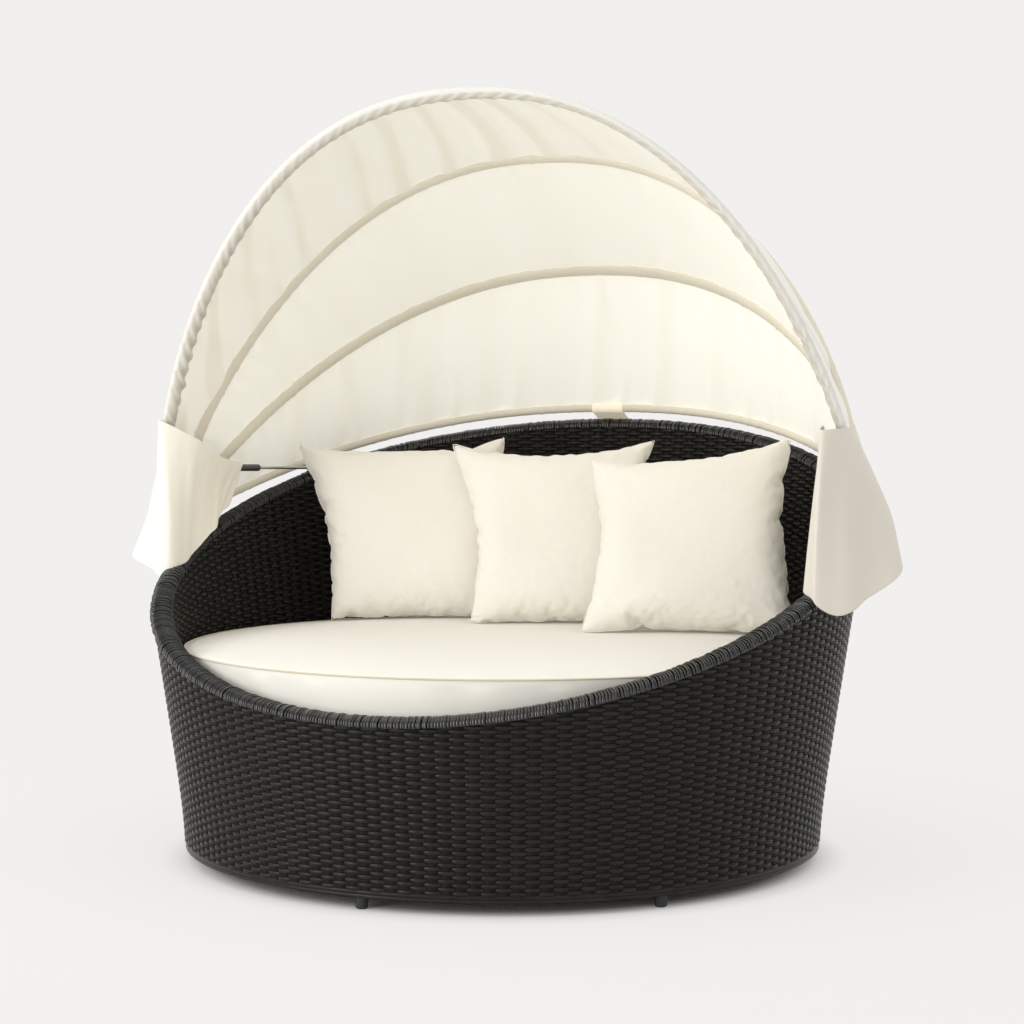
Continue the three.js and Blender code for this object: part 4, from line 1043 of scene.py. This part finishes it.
def makeSeat():
    profile = seatProfile()
    count, rows = seat["around"], len(profile)
    theta = np.linspace(0, 2 * np.pi, count, endpoint=False)
    radius, height = profile[:, 0][None, :], profile[:, 1][None, :]
    sideMask = smoothStep(radius, *seat["sideRadii"]) * smoothStep(height, *seat["sideLow"])
    sideMask = sideMask * (1 - smoothStep(height, *seat["sideHigh"]))
    edgeRadius, edgeWidth = seat["edgeBand"]
    edgeMask = np.exp(-((radius - edgeRadius) / edgeWidth) ** 2) * smoothStep(height, *seat["edgeLow"])
    run, whole = theta[:, None] * seat["radius"], 2 * np.pi * seat["radius"]
    wrap = smoothStep(run, 0, seat["join"]) * (1 - smoothStep(run, whole - seat["join"], whole))
    wrinkle = wavesAlong(run + 0.5 * height, seat["seed"], *seat["wrinkles"]) * wrap
    fine = wavesAlong(run, seat["seed"] + 10, *seat["fineWrinkles"]) * wrap
    (sideBroad, sideFine), (edgeBroad, edgeFine) = seat["sideDepths"], seat["edgeDepths"]
    spread = radius + (wrinkle * sideBroad + fine * sideFine) * sideMask
    rise = height + (wrinkle * edgeBroad + fine * edgeFine) * edgeMask
    rings = np.stack([spread * np.sin(theta)[:, None], -spread * np.cos(theta)[:, None], rise], -1)
    centres = [[0, 0, seat["bottom"]], [0, 0, seat["edgeHeight"] + seat["crown"]]]
    vertices = np.concatenate([rings.reshape(-1, 3), centres])
    low, high = len(vertices) - 2, len(vertices) - 1
    faces = gridFaces(count, rows, joinRows=True)
    for i in range(count):
        a, b = i * rows, (i + 1) % count * rows
        faces += [(low, a, b), (high, b + rows - 1, a + rows - 1)]
    piece = faceOutwards(meshObject("seatCushion", vertices, faces, cushionIvory))
    cords = {
        "cushionCordTop": (seat["radius"] - 0.0005, seat["edgeHeight"] - 0.0005),
        "cushionCordLow": (seat["bottomRadius"] - 0.003, seat["bottom"] + 0.0065),
    }
    seams = [tubeAlong(name, levelRing(*spot, theta), seat["cord"], seamTan) for name, spot in cords.items()]
    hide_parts("seat_cushion")
    for each in (piece, *seams):
        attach(each, "seat_cushion")


makeSeat()
print("cushion laid")


# Strap: runs under the rear bow and over the outside of the rim
strap = {
    "half": 0.045, "columns": 18, "bends": 14, "thickness": 0.0022, "loop": 0.0128, "turns": (0.62, 1.56),
    "rimRadius": 0.9295,
    # distance behind the middle and height, over the rim
    "over": [(0.9035, 1.0655), (0.9183, 1.0643), (0.9262, 1.0585), (0.9318, 1.0512), (0.9321, 1.04),
             (0.9321, 1.028)],
}


def makeStrap():
    x = np.linspace(-strap["half"], strap["half"], strap["columns"])
    bow = bows["rear"]
    turn = np.arccos((np.abs(x) / bow["halfSpan"]) ** (canopy["spanPower"] / 2))
    _, reach = bowCurve(bow, turn)
    start, end = (share * math.pi for share in strap["turns"])
    bend = np.linspace(start, end, strap["bends"])
    columns = []
    for k, across in enumerate(x):
        _, y, z = canopyPlace(np.array(across), reach[k], bow["angle"])
        loop = [(y + strap["loop"] * math.cos(t), z + strap["loop"] * math.sin(t)) for t in bend]
        curve = strap["rimRadius"] - math.sqrt(strap["rimRadius"] ** 2 - across ** 2)
        path = np.array([*loop, *((back - curve, height) for back, height in strap["over"])])
        columns.append(np.stack([np.full(len(path), across), path[:, 0], path[:, 1]], -1))
    piece = clothSheet("rearStrap", np.array(columns), strap["thickness"], strapTan)
    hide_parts("rear_strap")
    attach(piece, "base")


makeStrap()
print("strap tied")


# Studio: a pale floor that runs into the background colour, and large soft lights
studio = {
    "background": (0.88, 0.87, 0.855), "floor": (0.86, 0.855, 0.845), "floorRadius": 40, "floorSides": 96,
    "shadeStart": 0.7, "fadeStart": 0.86, "fadeEnd": 2.7, "glowShare": 0.86, "aim": (0, 0, 0.8),
    # name, place, power, size
    "lights": [
        ("keyLight", (-3.4, -4.2, 2.6), 90, 2.4),
        ("lowLight", (-2.2, -4.9, 0.8), 60, 1.8),
        ("topLight", (0.0, 0.0, 5.2), 34, 3.2),
    ],
}


def makeStudio(spec):
    world = bpy.data.worlds.new("studioWorld")
    world.use_nodes = True
    world.node_tree.nodes["Background"].inputs["Color"].default_value = (*spec["background"], 1)
    bpy.context.scene.world = world
    count, radius = spec["floorSides"], spec["floorRadius"]
    ring = [(radius * math.cos(t), radius * math.sin(t), 0) for t in np.arange(count) * 2 * math.pi / count]
    material, graph, shader = surface("studioFloor", roughness=0.9, specular=0.1)
    shader.inputs["Base Color"].default_value = (*spec["floor"], 1)
    away = graph.add("ShaderNodeVectorMath", {"operation": "LENGTH"}, [objectPlace(graph)], "Value")
    fade = graph.add("ShaderNodeMapRange", {"interpolation_type": "SMOOTHSTEP"}, {
        "Value": away, "From Min": spec["fadeStart"], "From Max": spec["fadeEnd"],
        "To Min": spec["glowShare"],
    })
    under = graph.add("ShaderNodeMapRange", {"interpolation_type": "SMOOTHSTEP"}, {
        "Value": away, "From Min": spec["shadeStart"], "From Max": spec["fadeStart"],
    })
    glow = graph.add("ShaderNodeEmission", {}, {"Color": (*spec["background"], 1)})
    blended = graph.add("ShaderNodeMixShader", {}, [fade * under, Wire(graph, shader.outputs[0]), glow])
    output = [n for n in material.node_tree.nodes if n.type == "OUTPUT_MATERIAL"][0]
    material.node_tree.links.new(blended.socket, output.inputs["Surface"])
    meshObject("studioFloor", ring, [tuple(range(count))], material, smooth=False)
    for name, place, power, size in spec["lights"]:
        lamp = bpy.data.lights.new(name, "AREA")
        lamp.energy, lamp.size = power, size
        light = newObject(name, lamp)
        light.location = place
        light.rotation_euler = (Vector(place) - Vector(spec["aim"])).to_track_quat("Z", "Y").to_euler()


makeStudio(studio)
print("studio lit")


# Finishes of the carried CAD nodes
def pairs(*stems):
    return [f"{stem}_{side}" for stem in stems for side in ("left", "right")]


nodeFinishes = {
    framePaint: ["base_ring", "seat_ring", "rim_tube", "cross_beam_front", "cross_beam_middle",
                 "cross_beam_rear", "centre_leg", *[f"upright_{i}" for i in range(1, 13)]],
    bracketPaint: pairs("hinge_bracket", "strut_rim_foot"),
    strutBlack: pairs("strut_body"),
    fixingSteel: pairs("pivot_bolt", "pivot_nut", "strut_rod", "strut_stud"),
    bowAluminium: ["front_bow", "second_bow", "third_bow", "rear_bow"],
    glidePlastic: ["centre_glide", *[f"glide_{i}" for i in range(1, 7)]],
    deckPlywood: ["seat_deck"],
}


def finishNodes():
    for material, names in nodeFinishes.items():
        for name in names:
            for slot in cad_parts[name].material_slots:
                slot.link = "OBJECT"
                slot.material = material


finishNodes()
